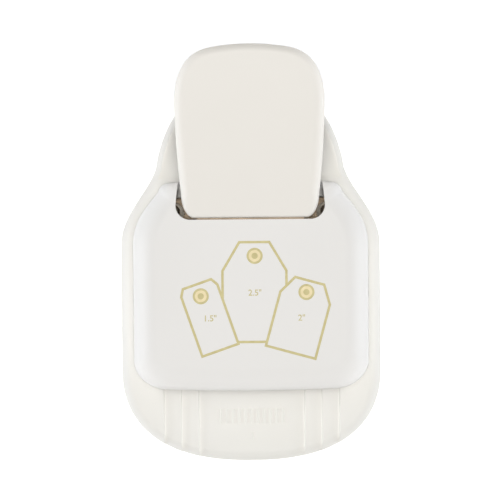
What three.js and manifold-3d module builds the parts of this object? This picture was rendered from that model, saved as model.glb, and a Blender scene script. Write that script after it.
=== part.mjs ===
// Lever punch that shapes the tops of paper tags of three widths.
// Millimetres, +Z up. X is across the punch, Y runs from the paper tray (front) to the lever (rear).
// The sizes below are measured from the front edge of the base and from the table.
// The last group shifts the punch so that the middle of its length is at Y = 0.
import * as THREE from "three";
import { mergeVertices } from "three/addons/utils/BufferGeometryUtils.js";
import Module from "manifold-3d";

const wasm = await Module();
wasm.setup();

// Tags that the punch takes, by their width across the tray.
const small_tag_width = 38.1;
const middle_tag_width = 50.8;
const large_tag_width = 63.5;
const tag_play = 0.5;
const tag_top_width = 30;
const corner_cut_length = 28.4;

// Clearances that all pieces share.
const fit_gap = 0.3;
const overrun = 1;

// Punch set: steel plates, spacers and blades.
const die_thickness = 3.2;
const guide_thickness = 4.4;
const carrier_thickness = 4;
const punch_travel = 6;
const blade_overcut = 1.2;
const blade_side_room = 0.5;
const blade_recess = 0.45;
const spacer_width = 5.2;
const stop_depth = 3;
const punch_radius = 2.5;
const hole_setback = 10;
const die_front_margin = 9;
const plate_rear_margin = 1.6;
const plate_corner_length = 13.9;
const plate_corner_width = 10.3;

// Springs and the posts inside them.
const spring_height = 10.5;
const spring_wire = 0.5;
const spring_radius = 3.45;
const spring_top_radius = 1.85;
const spring_turns = 4;
const spring_inset = 1.4;
const spring_setback = 3.2;
const spring_row_span = 41.5;
const post_radius = 1.25;
const post_head_radius = 2.4;
const post_head_height = 1.4;
const ear_radius = 2.5;
const ear_neck_inset = 1.2;
const carrier_side_margin = 1.2;
const carrier_front_margin = 4;
const carrier_neck_width = 42;
const carrier_rear_margin = 3;

// Lever mechanism.
const short_arm = 33;
const pivot_drop = 2.85;
const pivot_radius = 2;
const roller_radius = 3.5;
const roller_length = 33.8;
const roller_side_play = 0.6;
const roller_pin_head = 1;
const frame_steel = 1.5;
const frame_boss_radius = 5;
const frame_headroom = 1.6;
const frame_clearance = 0.8;
const frame_end_room = 16;
const arm_drop = 1.2;
const bracket_steel = 2;
const bracket_side_gap = 0.5;
const bracket_flange = 8;
const bracket_room = 2.4;
const clip_steel = 0.8;
const clip_width = 1.6;
const groove_depth = 0.6;
const pin_end = 0.9;

// Base.
const foot_proud = 1.2;
const chip_height = 5;
const step_rise = 0.95;
const base_floor_thickness = 2.2;
const base_wall = 2.4;
const rim_width = 4.5;
const rim_radius = 3.9;
const base_foot_inset = 1;
const tray_length = 26.1;
const base_front_length = 34.8;
const base_front_power = 2.38;
const base_side_length = 45.2;
const base_shoulder_length = 28;
const base_rear_length = 63.5;
const base_rear_radius = 42;
const base_rear_half_width = 35;
const rear_recess_depth = 1.2;
const rear_rim_width = 2.2;
const die_ledge = 4.6;
const die_ring_wall = 2.7;
const foot_radius = 5;
const foot_height = 2.6;
const foot_boss_wall = 2;
const front_foot_edge = 17.6;
const front_foot_inset = 19;
const rear_foot_edge = 16;
const rear_foot_inset = 20;

// Housing.
const housing_wall = 2.7;
const plate_side_room = 1.5;
const ceiling_gap = 0.85;
const mouth_height = 4.2;
const mouth_side_room = 1.5;
const housing_rear_room = 4.4;
const housing_draft = 1.8;
const housing_side_slope = 10;
const housing_front_slope = 11.4;
const housing_rear_slope = 6;
const housing_fillet_height = 9.5;
const housing_bow = 0.6;
const housing_corner_width = 12.8;
const housing_corner_depth = 11.2;
const top_corner_width = 8;
const top_corner_depth = 7;
const notch_corner_radius = 5;
const notch_draft = 1;
const sill_height = 8;
const boss_radius = 3.2;
const boss_inset = 6.9;
const boss_setback = 8;
const boss_height = 20;
const rear_boss_spread = 36;
const rear_boss_height = 7;
const rear_shelf_thickness = 2.2;

// Lever shell.
const lever_wall = 2.2;
const lever_side_room = 3.05;
const notch_side_gap = 1.95;
const notch_front_gap = 0.6;
const notch_lead = 18.95;
const lever_length = 59.45;
const lever_flare = 1.75;
const lever_rise = 19;
const lever_front_skirt = 8;
const lever_rear_skirt = 13;
const lever_edge_radius = 3.5;
const lever_front_edge_radius = 1;
const lever_front_corner_width = 4.6;
const lever_front_corner_length = 8.5;
const lever_end_width = 26;
const lever_end_bow = 1.1;
const lever_corner_length = 19;
const lever_boss_radius = 3;
const lever_boss_height = 2.6;
const front_lever_screw = 16;
const rear_screw_setback = 7.1;

// Screws: shank radius, head radius, head height, length under the head.
const set_screw = { shank: 1.5, head: 2.7, cap: 1.8, length: 13 };
const bracket_screw = { shank: 1.2, head: 2.2, cap: 1.5, length: 5 };
const housing_screw = { shank: 1.3, head: 2.8, cap: 1.8, length: 18 };
const rear_housing_screw = { shank: 1.3, head: 2.8, cap: 1.8, length: 14 };
const lever_screw = { shank: 1.2, head: 2.4, cap: 1.5, length: 5.2 };
const blade_screw = { shank: 1.2, head: 2.2, cap: 1.5, length: 7 };

// Outlines are shares of the sizes that they follow.
const base_shoulder_shares = [[1, 0], [1, 0.393], [0.779, 0.696], [0.728, 1]];
const housing_shoulder_shares = [[1, 0], [1, 0.347], [0.895, 0.551], [0.785, 0.8]];
const housing_corner_shares = [[0.765, 0.925], [0.7, 0.945], [0.35, 1]];
const housing_arc_share = 0.55;
const lever_side_shares = [[0, 0], [0.45, 0.27], [0.96, 0.62], [1, 1]];
const lever_corner_shares = [[0, 0], [0, 0.585], [0.331, 0.931], [1, 1]];
const lever_rise_shares = [1.2, -0.2];
const lever_ring_shares = [1 / 3, 2 / 3, 19 / 20];
const socket_share = 0.5;

// Numbers of sides and steps of the round forms.
const hole_sides = 16;
const screw_sides = 12;
const roller_sides = 24;
const curve_steps = 6;
const fillet_steps = 5;
const wire_sides = 5;
const steps_per_turn = 8;

// Heights, from the table up.
const base_bottom = foot_proud;
const ledge_top = base_bottom + chip_height;
const die_bottom = ledge_top + fit_gap;
const die_top = die_bottom + die_thickness;
const floor_top = die_top + fit_gap;
const deck_top = floor_top + 3 * step_rise;
const guide_bottom = deck_top + fit_gap;
const guide_top = guide_bottom + guide_thickness;
const carrier_bottom = guide_top + spring_height;
const carrier_top = carrier_bottom + carrier_thickness;
const roller_z = carrier_top + fit_gap + roller_radius;
const pivot_z = roller_z - pivot_drop;
const web_bottom = roller_z + roller_radius + frame_headroom;
const web_top = web_bottom + frame_steel;
const ceiling = web_top + ceiling_gap;
const housing_top = ceiling + housing_wall;
const mouth_top = deck_top + mouth_height;
const blade_bottom = guide_bottom + blade_recess;
const housing_bottom = deck_top + fit_gap;
const sill_top = housing_bottom + sill_height;

// Half widths, from the middle out.
const small_channel = (small_tag_width + tag_play) / 2;
const middle_channel = (middle_tag_width + tag_play) / 2;
const large_channel = (large_tag_width + tag_play) / 2;
const blade_outer = large_channel + blade_overcut;
const frame_inner = roller_length / 2 + roller_side_play;
const frame_outer = frame_inner + frame_steel;
const lever_half = frame_outer + lever_side_room + lever_wall;
const notch_half = lever_half + notch_side_gap;
const spring_x = notch_half + spring_inset;
const spacer_inner = Math.max(blade_outer + blade_side_room,
  spring_x + spring_radius + spring_wire / 2 + fit_gap + set_screw.head - spacer_width / 2);
const plate_half = spacer_inner + spacer_width;
const cheek_inner = frame_outer + bracket_side_gap;
const cheek_outer = cheek_inner + bracket_steel;
const bracket_half = cheek_outer + bracket_flange;
const guide_neck_half = bracket_half + overrun;
const housing_half = Math.max(plate_half + plate_side_room + housing_wall,
  guide_neck_half + fit_gap + boss_radius + boss_inset);
const base_half = housing_half + rim_width;
const front_foot_x = base_half - front_foot_edge;
const rear_foot_x = base_rear_half_width - rear_foot_edge;
const carrier_half = blade_outer + carrier_side_margin;
const tag_top_half = tag_top_width / 2;

// Places along the punch, from the front edge of the base.
const pivot_y = tray_length + housing_wall + bracket_room + frame_boss_radius + fit_gap;
const roller_y = pivot_y + short_arm;
const notch_y = roller_y + notch_lead;
const lever_y = notch_y + notch_front_gap;
const rear_spring_y = notch_y + spring_setback;
const front_spring_y = rear_spring_y - spring_row_span;
const plate_rear = rear_spring_y + spring_radius + plate_rear_margin;
const stop_y = notch_y - fit_gap - stop_depth;
const hole_y = stop_y - hole_setback;
const cut_slope = corner_cut_length / (large_tag_width / 2 - tag_top_half);
const blade_front = stop_y - cut_slope * (blade_outer - tag_top_half);
const die_front = blade_front - die_front_margin;
const guide_front = pivot_y - frame_boss_radius;
const housing_rear = plate_rear + housing_rear_room + housing_wall;
const base_side_end = base_front_length + base_side_length;
const base_rear_y = base_side_end + base_rear_length - base_rear_radius;
const base_end = base_side_end + base_rear_length;
const lever_end = lever_y + lever_length;
const frame_rear = lever_end - frame_end_room;
const carrier_front = front_spring_y - carrier_front_margin;
const carrier_rear = rear_spring_y + carrier_rear_margin;
const boss_x = housing_half - boss_inset;
const boss_y = tray_length + boss_setback + boss_radius;
const rear_boss_x = rear_boss_spread / 2;
const rear_boss_y = plate_rear + boss_radius;
const set_screw_x = spacer_inner + spacer_width / 2;
const set_screw_ys = [die_front + set_screw.head + overrun,
  stop_y - blade_overcut - set_screw.head - overrun];
const bracket_screw_x = cheek_outer + bracket_flange / 2;

const plastic = { roughness: 0.42, metalness: 0 };
const steel = { roughness: 0.38, metalness: 1 };
const housing_white = new THREE.MeshStandardMaterial({ color: 0xeae9e5, ...plastic });
const base_white = new THREE.MeshStandardMaterial({ color: 0xefebe1, ...plastic });
const lever_cream = new THREE.MeshStandardMaterial({ color: 0xece8e2, ...plastic });
const plate_steel = new THREE.MeshStandardMaterial({ color: 0x8c857c, ...steel });
const blade_steel = new THREE.MeshStandardMaterial({ color: 0x9b968e, ...steel });
const spring_steel = new THREE.MeshStandardMaterial({ color: 0xa9a39b, ...steel });
const screw_zinc = new THREE.MeshStandardMaterial({ color: 0xb9b7b0, ...steel });
const foot_rubber = new THREE.MeshStandardMaterial({ color: 0x3b3a38, roughness: 0.9, metalness: 0 });

// A closed geometry as a solid that can be joined and cut, and back.
function solid(geometry) {
  const bare = geometry.index ? geometry.toNonIndexed() : geometry.clone();
  bare.deleteAttribute("normal");
  bare.deleteAttribute("uv");
  const merged = mergeVertices(bare);
  return new wasm.Manifold(new wasm.Mesh({
    numProp: 3,
    vertProperties: merged.attributes.position.array,
    triVerts: new Uint32Array(merged.index.array),
  }));
}

function geometry_of(made) {
  const mesh = made.getMesh();
  const geometry = new THREE.BufferGeometry();
  geometry.setAttribute("position", new THREE.BufferAttribute(mesh.vertProperties, 3));
  geometry.setIndex(new THREE.BufferAttribute(mesh.triVerts, 1));
  geometry.computeVertexNormals();
  return geometry;
}

function cut(body, ...tools) {
  return tools.reduce((left, tool) => left.subtract(tool), body);
}

function join(...bodies) {
  return bodies.reduce((sum, body) => sum.add(body));
}

// A flat outline in X and Y, raised from one height to another.
function plate(points, low, high) {
  const shape = new THREE.Shape(points.map(([x, y]) => new THREE.Vector2(x, y)));
  const geometry = new THREE.ExtrudeGeometry(shape, { depth: high - low, bevelEnabled: false });
  geometry.translate(0, 0, low);
  return solid(geometry);
}

// An outline in Y and Z, drawn across the punch from one X to another.
function across(points, left, right) {
  const shape = new THREE.Shape(points.map(([y, z]) => new THREE.Vector2(y, z)));
  const geometry = new THREE.ExtrudeGeometry(shape, { depth: right - left, bevelEnabled: false });
  geometry.applyMatrix4(new THREE.Matrix4().makeBasis(
    new THREE.Vector3(0, 1, 0), new THREE.Vector3(0, 0, 1), new THREE.Vector3(1, 0, 0)));
  geometry.translate(left, 0, 0);
  return solid(geometry);
}

function box(left, right, front, rear, low, high) {
  const geometry = new THREE.BoxGeometry(right - left, rear - front, high - low);
  geometry.translate((left + right) / 2, (front + rear) / 2, (low + high) / 2);
  return solid(geometry);
}

function upright(x, y, radius, low, high, sides = hole_sides) {
  const geometry = new THREE.CylinderGeometry(radius, radius, high - low, sides);
  geometry.rotateX(Math.PI / 2);
  geometry.translate(x, y, (low + high) / 2);
  return solid(geometry);
}

function rod(y, z, radius, left, right, sides = hole_sides) {
  const geometry = new THREE.CylinderGeometry(radius, radius, right - left, sides);
  geometry.rotateZ(Math.PI / 2);
  geometry.translate((left + right) / 2, y, z);
  return solid(geometry);
}

// A profile of radius and height, turned about an upright axis.
function turned(profile, x, y, sides) {
  const geometry = new THREE.LatheGeometry(profile.map(([r, z]) => new THREE.Vector2(r, z)), sides);
  geometry.rotateX(Math.PI / 2);
  geometry.translate(x, y, 0);
  return solid(geometry);
}

// Closed rings of points, counterclockwise from above, skinned from the lowest to the highest.
function loft(rings) {
  const count = rings[0].length;
  const positions = rings.flat().flatMap((p) => [p.x, p.y, p.z]);
  const faces = [];
  for (let k = 0; k + 1 < rings.length; k += 1) {
    for (let i = 0; i < count; i += 1) {
      const a = k * count + i;
      const b = k * count + ((i + 1) % count);
      faces.push(a, b, b + count, a, b + count, a + count);
    }
  }
  const flat = rings[0].map((p) => new THREE.Vector2(p.x, p.y));
  const top = (rings.length - 1) * count;
  const top_flat = rings[rings.length - 1].map((p) => new THREE.Vector2(p.x, p.y));
  for (const [a, b, c] of THREE.ShapeUtils.triangulateShape(flat, [])) {
    faces.push(a, c, b);
  }
  for (const [a, b, c] of THREE.ShapeUtils.triangulateShape(top_flat, [])) {
    faces.push(top + a, top + b, top + c);
  }
  const geometry = new THREE.BufferGeometry();
  geometry.setAttribute("position", new THREE.Float32BufferAttribute(positions, 3));
  geometry.setIndex(faces);
  return solid(geometry);
}

// Points of a Bezier curve through its control points, without its last point.
function bezier(controls, steps = curve_steps) {
  const points = controls.map(([x, y]) => new THREE.Vector3(x, y, 0));
  const curve = points.length === 3
    ? new THREE.QuadraticBezierCurve3(...points)
    : new THREE.CubicBezierCurve3(...points);
  return curve.getPoints(steps).slice(0, -1).map((p) => [p.x, p.y]);
}

// The right half of an outline, from front middle to rear middle, closed by its mirror image.
function mirrored(half) {
  const left = half.slice(1, -1).reverse().map(([x, y]) => [-x, y]);
  return [...half, ...left];
}

// An outline moved inwards along its own normals, each point by the distance for its Y.
function inset_by(outline, distance_at) {
  const count = outline.length;
  return outline.map(([x, y], i) => {
    const [ax, ay] = outline[(i + count - 1) % count];
    const [bx, by] = outline[(i + 1) % count];
    const length = Math.hypot(bx - ax, by - ay);
    const distance = distance_at(y);
    return [x - ((by - ay) / length) * distance, y + ((bx - ax) / length) * distance];
  });
}

function inset(outline, distance) {
  return inset_by(outline, () => distance);
}

// A convex polygon, counterclockwise, with each side moved outwards.
function grown(polygon, distance) {
  const count = polygon.length;
  const sides = polygon.map(([x, y], i) => {
    const [nx, ny] = polygon[(i + 1) % count];
    const length = Math.hypot(nx - x, ny - y);
    const out = [(ny - y) / length, -(nx - x) / length];
    const point = [x + out[0] * distance, y + out[1] * distance];
    return { point, along: [(nx - x) / length, (ny - y) / length] };
  });
  return polygon.map((corner, i) => {
    const a = sides[(i + count - 1) % count];
    const b = sides[i];
    const cross = a.along[0] * b.along[1] - a.along[1] * b.along[0];
    const dx = b.point[0] - a.point[0];
    const dy = b.point[1] - a.point[1];
    const t = (dx * b.along[1] - dy * b.along[0]) / cross;
    return [a.point[0] + a.along[0] * t, a.point[1] + a.along[1] * t];
  });
}

function at_height(outline, z) {
  return outline.map(([x, y]) => new THREE.Vector3(x, y, z));
}

function blend(from, to, share) {
  return from.map(([x, y], i) => [x + (to[i][0] - x) * share, y + (to[i][1] - y) * share]);
}

function screw(size, x, y, seat, facing) {
  const socket = size.head * socket_share;
  const profile = [
    [0, size.cap * socket_share], [socket, size.cap * socket_share], [socket, size.cap], [size.head, size.cap],
    [size.head, 0], [size.shank, 0], [size.shank, -size.length], [0, -size.length],
  ].map(([r, z]) => [r, seat + facing * z]);
  return turned(facing > 0 ? profile.reverse() : profile, x, y, screw_sides);
}

const punch = new THREE.Group();

function add(name, made, material) {
  const mesh = new THREE.Mesh(geometry_of(made), material);
  mesh.name = name;
  punch.add(mesh);
}

const sides = [["left", -1], ["right", 1]];
const corners = [
  ["front_left", -1, front_spring_y], ["front_right", 1, front_spring_y],
  ["rear_left", -1, rear_spring_y], ["rear_right", 1, rear_spring_y],
];

// Base outline: a rounded front, straight sides, shoulders and a narrower round rear.
function base_outline() {
  const front = [];
  const front_steps = 2 * curve_steps;
  for (let i = 0; i < front_steps; i += 1) {
    const angle = (i / front_steps) * (Math.PI / 2);
    const x = base_half * Math.pow(Math.sin(angle), 2 / base_front_power);
    const y = base_front_length * (1 - Math.pow(Math.cos(angle), 2 / base_front_power));
    front.push([x, y]);
  }
  const shoulder = bezier(base_shoulder_shares.map(([w, l]) => [
    base_half * w, base_side_end + base_shoulder_length * l]), curve_steps + 2);
  const rear = [];
  const rear_steps = 2 * curve_steps - 2;
  const first = Math.asin((base_side_end + base_shoulder_length - base_rear_y) / base_rear_radius);
  for (let i = 0; i <= rear_steps; i += 1) {
    const angle = first + (i / rear_steps) * (Math.PI / 2 - first);
    rear.push([base_rear_half_width * Math.cos(angle), base_rear_y + base_rear_radius * Math.sin(angle)]);
  }
  rear[rear_steps][0] = 0;
  return mirrored([...front, [base_half, base_front_length], ...shoulder, ...rear]);
}

// Plates of the punch set: a rectangle with its rear corners cut off.
function plate_outline(front) {
  return [
    [-plate_half, front], [plate_half, front], [plate_half, plate_rear - plate_corner_length],
    [plate_half - plate_corner_width, plate_rear], [-plate_half + plate_corner_width, plate_rear],
    [-plate_half, plate_rear - plate_corner_length],
  ];
}

function blade_outline(side) {
  const right = [[tag_top_half, stop_y], [blade_outer, blade_front], [blade_outer, stop_y]];
  return side > 0 ? right : right.map(([x, y]) => [-x, y]).reverse();
}

// Openings through a plate for the blades and the hole punch.
function punch_openings(low, high) {
  return [
    plate(grown(blade_outline(-1), fit_gap), low, high),
    plate(grown(blade_outline(1), fit_gap), low, high),
    upright(0, hole_y, punch_radius + fit_gap, low, high),
  ];
}

function set_screw_holes(low, high) {
  return sides.flatMap(([, side]) => set_screw_ys.map((y) =>
    upright(side * set_screw_x, y, set_screw.shank + fit_gap, low, high, screw_sides)));
}

const feet = [
  ["front_left", -front_foot_x, front_foot_inset],
  ["front_right", front_foot_x, front_foot_inset],
  ["rear_left", -rear_foot_x, base_end - rear_foot_inset],
  ["rear_right", rear_foot_x, base_end - rear_foot_inset],
];

const housing_screws = [
  ["front_left", -boss_x, boss_y, housing_screw], ["front_right", boss_x, boss_y, housing_screw],
  ["rear_left", -rear_boss_x, rear_boss_y, rear_housing_screw],
  ["rear_right", rear_boss_x, rear_boss_y, rear_housing_screw],
];

// The base's outer form up to one level, with a rounded upper edge.
function base_body(outline, top) {
  const rings = [at_height(inset(outline, base_foot_inset), base_bottom)];
  rings.push(at_height(outline, base_bottom + base_foot_inset));
  for (let i = 0; i <= fillet_steps; i += 1) {
    const angle = (i / fillet_steps) * (Math.PI / 2);
    const drop = rim_radius * (1 - Math.sin(angle));
    rings.push(at_height(inset(outline, rim_radius * (1 - Math.cos(angle))), top - drop));
  }
  return loft(rings);
}

function base_shell() {
  const outline = base_outline();
  const under = floor_top - base_floor_thickness;
  const hollow_outline = inset(outline, base_foot_inset + base_wall);
  const hollow = loft([at_height(hollow_outline, base_bottom - overrun), at_height(hollow_outline, under)]);
  const die_plate_outline = plate_outline(die_front);
  const ring = plate(grown(die_plate_outline, fit_gap + die_ring_wall), base_bottom, under + fit_gap);
  const foot_bosses = feet.map(([, x, y]) =>
    upright(x, y, foot_radius + fit_gap + foot_boss_wall, base_bottom, under + fit_gap));
  const screw_bosses = housing_screws.map(([, x, y, size]) =>
    upright(x, y, size.head + fit_gap + foot_boss_wall, base_bottom, under + fit_gap));
  const body = join(cut(base_body(outline, deck_top), hollow), ring, ...foot_bosses, ...screw_bosses);
  const high = deck_top + overrun;
  const channels = [[small_channel, floor_top], [middle_channel, floor_top + step_rise],
    [large_channel, floor_top + 2 * step_rise]].map(([half, floor]) =>
    cut(box(-half, half, -overrun, die_front, base_bottom + base_foot_inset, high),
      base_body(outline, floor)));
  const pocket = plate(grown(die_plate_outline, fit_gap), ledge_top, high);
  const chip_hole = box(-plate_half + die_ledge, plate_half - die_ledge, die_front + die_ledge,
    plate_rear - die_ledge, base_bottom - overrun, high);
  const recess_front = box(-base_half, base_half, 0, housing_rear + fit_gap, 0, 2 * high);
  const recess_outline = inset(outline, rear_rim_width);
  const rear_recess = loft([at_height(recess_outline, deck_top - rear_recess_depth),
    at_height(recess_outline, high)]);
  const foot_seats = feet.map(([, x, y]) =>
    upright(x, y, foot_radius + fit_gap, base_bottom - overrun, foot_height + fit_gap));
  const screw_ways = housing_screws.flatMap(([, x, y, size]) => [
    upright(x, y, size.head + fit_gap, base_bottom - overrun, base_bottom + size.cap + 2 * fit_gap,
      screw_sides),
    upright(x, y, size.shank + fit_gap, base_bottom - overrun, high, screw_sides)]);
  return cut(body, ...channels, pocket, chip_hole, cut(rear_recess, recess_front), ...foot_seats,
    ...screw_ways, ...set_screw_holes(base_bottom + foot_boss_wall, high));
}

// Right half of the housing's outline at one level of its wall.
function housing_outline(half, front, corner_width, corner_depth, side_end, rear) {
  const length = rear - side_end;
  const corner_x = half - corner_width;
  const corner_y = front + housing_bow;
  const arc = 1 - housing_arc_share;
  const front_edge = bezier([[0, front], [corner_x / 2, front], [corner_x, corner_y]], 2);
  const corner = bezier([[corner_x, corner_y], [half - corner_width * arc, corner_y],
    [half, corner_y + corner_depth * arc], [half, corner_y + corner_depth]]);
  const shoulder = bezier(housing_shoulder_shares.map(([w, l]) => [half * w, side_end + length * l]));
  const [, , , last] = housing_shoulder_shares;
  const [turn, turn_end, rear_bend] = housing_corner_shares;
  const rear_corner = bezier([last, turn, turn_end].map(([w, l]) => [half * w, side_end + length * l]), 3);
  const rear_edge = bezier([turn_end, rear_bend, [0, 1]].map(([w, l]) => [
    half * w, side_end + length * l]), 3);
  return mirrored([...front_edge, ...corner, ...shoulder, ...rear_corner, ...rear_edge, [0, rear]]);
}

// The housing's outer or inner skin: drafted walls that turn into the top through a wide fillet.
function housing_skin(wall, low, margin) {
  const half = housing_half - wall;
  const lower = housing_outline(half, tray_length + wall, housing_corner_width - wall,
    housing_corner_depth - wall, base_side_end, housing_rear - wall);
  const upper = housing_outline(housing_half - housing_side_slope, tray_length + housing_front_slope,
    top_corner_width, top_corner_depth, base_side_end - housing_rear_slope / 2,
    housing_rear - housing_rear_slope);
  const top = housing_top - wall;
  const fillet = housing_fillet_height - wall;
  const drafted = housing_draft / (housing_side_slope - wall);
  const rings = [at_height(lower, low - margin), at_height(lower, low)];
  for (let i = 0; i <= fillet_steps + 1; i += 1) {
    const angle = (i / (fillet_steps + 1)) * (Math.PI / 2);
    const share = drafted + (1 - drafted) * (1 - Math.cos(angle));
    rings.push(at_height(blend(lower, upper, share), top - fillet * (1 - Math.sin(angle))));
  }
  return loft(margin ? rings : rings.slice(1));
}

function rounded_box_outline(half, front, rear, radius, rear_half) {
  return mirrored([[0, front], [half - radius, front],
    ...bezier([[half - radius, front], [half - radius * (1 - housing_arc_share), front],
      [half, front + radius * (1 - housing_arc_share)], [half, front + radius]]).slice(1),
    [half, front + radius], [rear_half, rear], [0, rear]]);
}

function top_housing() {
  const shell = cut(housing_skin(0, housing_bottom, 0), housing_skin(housing_wall, housing_bottom, overrun));
  const notch = plate(rounded_box_outline(notch_half, notch_y, housing_rear + overrun, notch_corner_radius,
    notch_half - notch_draft), sill_top, housing_top + overrun);
  const mouth_half = large_channel + mouth_side_room;
  const mouth = box(-mouth_half, mouth_half, -overrun, boss_y - boss_radius, 0, mouth_top);
  const inner = housing_skin(fit_gap, housing_bottom, 0);
  const bosses = housing_screws.slice(0, 2).map(([, x, y]) =>
    upright(x, y, boss_radius, housing_bottom, housing_bottom + boss_height).intersect(inner));
  const rear_bosses = housing_screws.slice(2).map(([, x, y]) =>
    join(upright(x, y, boss_radius, housing_bottom, housing_bottom + rear_boss_height),
      box(x - boss_radius, x + boss_radius, y, y + boss_radius, housing_bottom,
        housing_bottom + rear_boss_height))
      .intersect(inner));
  const shelf = box(-notch_half, notch_half, plate_rear + fit_gap, housing_rear,
    sill_top - rear_shelf_thickness, sill_top).intersect(inner);
  const webs = sides.map(([, side]) => box(Math.min(side * boss_x, side * housing_half),
    Math.max(side * boss_x, side * housing_half), boss_y - fit_gap, boss_y + fit_gap, housing_bottom,
    housing_bottom + boss_height).intersect(inner));
  const holes = housing_screws.map(([, x, y, size]) =>
    upright(x, y, size.shank + fit_gap, 0, base_bottom + size.cap + size.length + 2 * fit_gap, screw_sides));
  return cut(join(cut(shell, notch, mouth), ...bosses, ...rear_bosses, ...webs, shelf), ...holes);
}

// Height of the lever's top face above a place along the punch.
function lever_top(y) {
  const share = (y - lever_y) / lever_length;
  return housing_top + lever_rise * (lever_rise_shares[0] * share + lever_rise_shares[1] * share * share);
}

function lever_skirt(y) {
  const share = Math.min(Math.max((y - lever_y) / lever_length, 0), 1);
  return lever_front_skirt + (lever_rear_skirt - lever_front_skirt) * share;
}

function lever_outline() {
  const wide = lever_half + lever_flare;
  const side_start = lever_y + lever_front_corner_length;
  const corner_start = lever_end - lever_end_bow - lever_corner_length;
  const arc = 1 - housing_arc_share;
  const front = [[0, lever_y],
    ...bezier([[lever_half - lever_front_corner_width, lever_y],
      [lever_half - lever_front_corner_width * arc, lever_y],
      [lever_half, lever_y + lever_front_corner_length * arc], [lever_half, side_start]], 4)];
  const flank = bezier(lever_side_shares.map(([w, l]) => [
    lever_half + lever_flare * w, side_start + (corner_start - side_start) * l]), 4);
  const corner = bezier(lever_corner_shares.map(([w, l]) => [
    wide - (wide - lever_end_width / 2) * w, corner_start + lever_corner_length * l]), 8);
  const end = bezier([[lever_end_width / 2, lever_end - lever_end_bow], [lever_end_width / 4, lever_end],
    [0, lever_end]], 3);
  return mirrored([...front, ...flank, ...corner, ...end, [0, lever_end]]);
}

// Radius of the lever's upper edge: small at its front, then growing along the corner to the sides' own.
function lever_edge(y) {
  const share = Math.min(Math.max((y - lever_y) / lever_front_corner_length, 0), 1);
  return lever_front_edge_radius + (lever_edge_radius - lever_front_edge_radius) * share;
}

// The lever's outer or inner skin: rings up the skirt, round the edge and in to the middle of the top.
function lever_skin(wall, below) {
  const outline = inset(lever_outline(), wall);
  const round = (y) => lever_edge(y) * (1 - wall / lever_edge_radius);
  const rings = [outline.map(([x, y]) =>
    new THREE.Vector3(x, y, lever_top(y) - lever_skirt(y) - below))];
  for (let i = 0; i <= fillet_steps; i += 1) {
    const angle = (i / fillet_steps) * (Math.PI / 2);
    const ring = inset_by(outline, (y) => round(y) * (1 - Math.cos(angle)));
    rings.push(ring.map(([x, y], k) => {
      const [, outer_y] = outline[k];
      return new THREE.Vector3(x, y, lever_top(y) - wall - round(outer_y) * (1 - Math.sin(angle)));
    }));
  }
  const rim = inset_by(outline, round);
  const middle = rim.map(() => [0, lever_y + lever_length / 2]);
  for (const share of lever_ring_shares) {
    rings.push(blend(rim, middle, share).map(([x, y]) => new THREE.Vector3(x, y, lever_top(y) - wall)));
  }
  return loft(rings);
}

const lever_screw_ys = [lever_y + front_lever_screw, frame_rear - rear_screw_setback];

// Top face of the frame's web under the lever shell, one boss height below its ceiling.
function web_under_shell(y) {
  return lever_top(y) - lever_wall - lever_boss_height;
}

function lever_screw_seat(y) {
  return web_under_shell(y - lever_screw.head) - frame_steel - fit_gap;
}

function lever_shell() {
  const shell = cut(lever_skin(0, 0), lever_skin(lever_wall, overrun));
  const way = box(-frame_outer - fit_gap, frame_outer + fit_gap, lever_y - overrun,
    lever_y + lever_wall + overrun, 0, housing_top - lever_wall);
  const bosses = lever_screw_ys.map((y) => upright(0, y, lever_boss_radius,
    web_under_shell(y + lever_boss_radius) + fit_gap, lever_top(y) - lever_wall / 2, screw_sides));
  const holes = lever_screw_ys.map((y) => upright(0, y, lever_screw.shank + fit_gap,
    0, lever_screw_seat(y) + lever_screw.length + fit_gap, screw_sides));
  return cut(join(cut(shell, way), ...bosses), ...holes);
}

// Side view of the frame: a boss round the pivot, a level stretch over the carrier, then up under the shell.
function frame_profile(shift, with_arms) {
  const slope = punch_travel / short_arm;
  const low_y = carrier_rear + 2 * fit_gap;
  const rise_end = low_y + 2 * frame_boss_radius;
  const low = carrier_top + frame_clearance;
  const upper = [];
  const upper_steps = 5;
  const rise_start = lever_y + lever_wall + lever_edge_radius;
  for (let i = upper_steps; i >= 0; i -= 1) {
    const y = rise_start + (i / upper_steps) * (frame_rear - rise_start);
    upper.push([y, web_under_shell(y) - shift]);
  }
  const front_web = pivot_y + frame_boss_radius + roller_radius;
  upper.push([lever_y + lever_wall, web_top - shift], [front_web, web_top - shift]);
  if (!with_arms) {
    return [[front_web, 0], [frame_rear + overrun, 0], [frame_rear + overrun, upper[0][1]], ...upper];
  }
  const boss = [];
  const boss_steps = 8;
  for (let i = 0; i <= boss_steps; i += 1) {
    const angle = Math.PI / 2 + (i / boss_steps) * Math.PI;
    boss.push([pivot_y + frame_boss_radius * Math.cos(angle), pivot_z + frame_boss_radius * Math.sin(angle)]);
  }
  return [
    ...boss, [carrier_front - fit_gap, low], [roller_y, low], [low_y, low + slope * (low_y - roller_y)],
    [rise_end, lever_top(rise_end) - lever_skirt(rise_end) + arm_drop],
    [frame_rear, lever_top(frame_rear) - lever_skirt(frame_rear) + 2 * arm_drop], ...upper,
  ];
}

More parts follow.
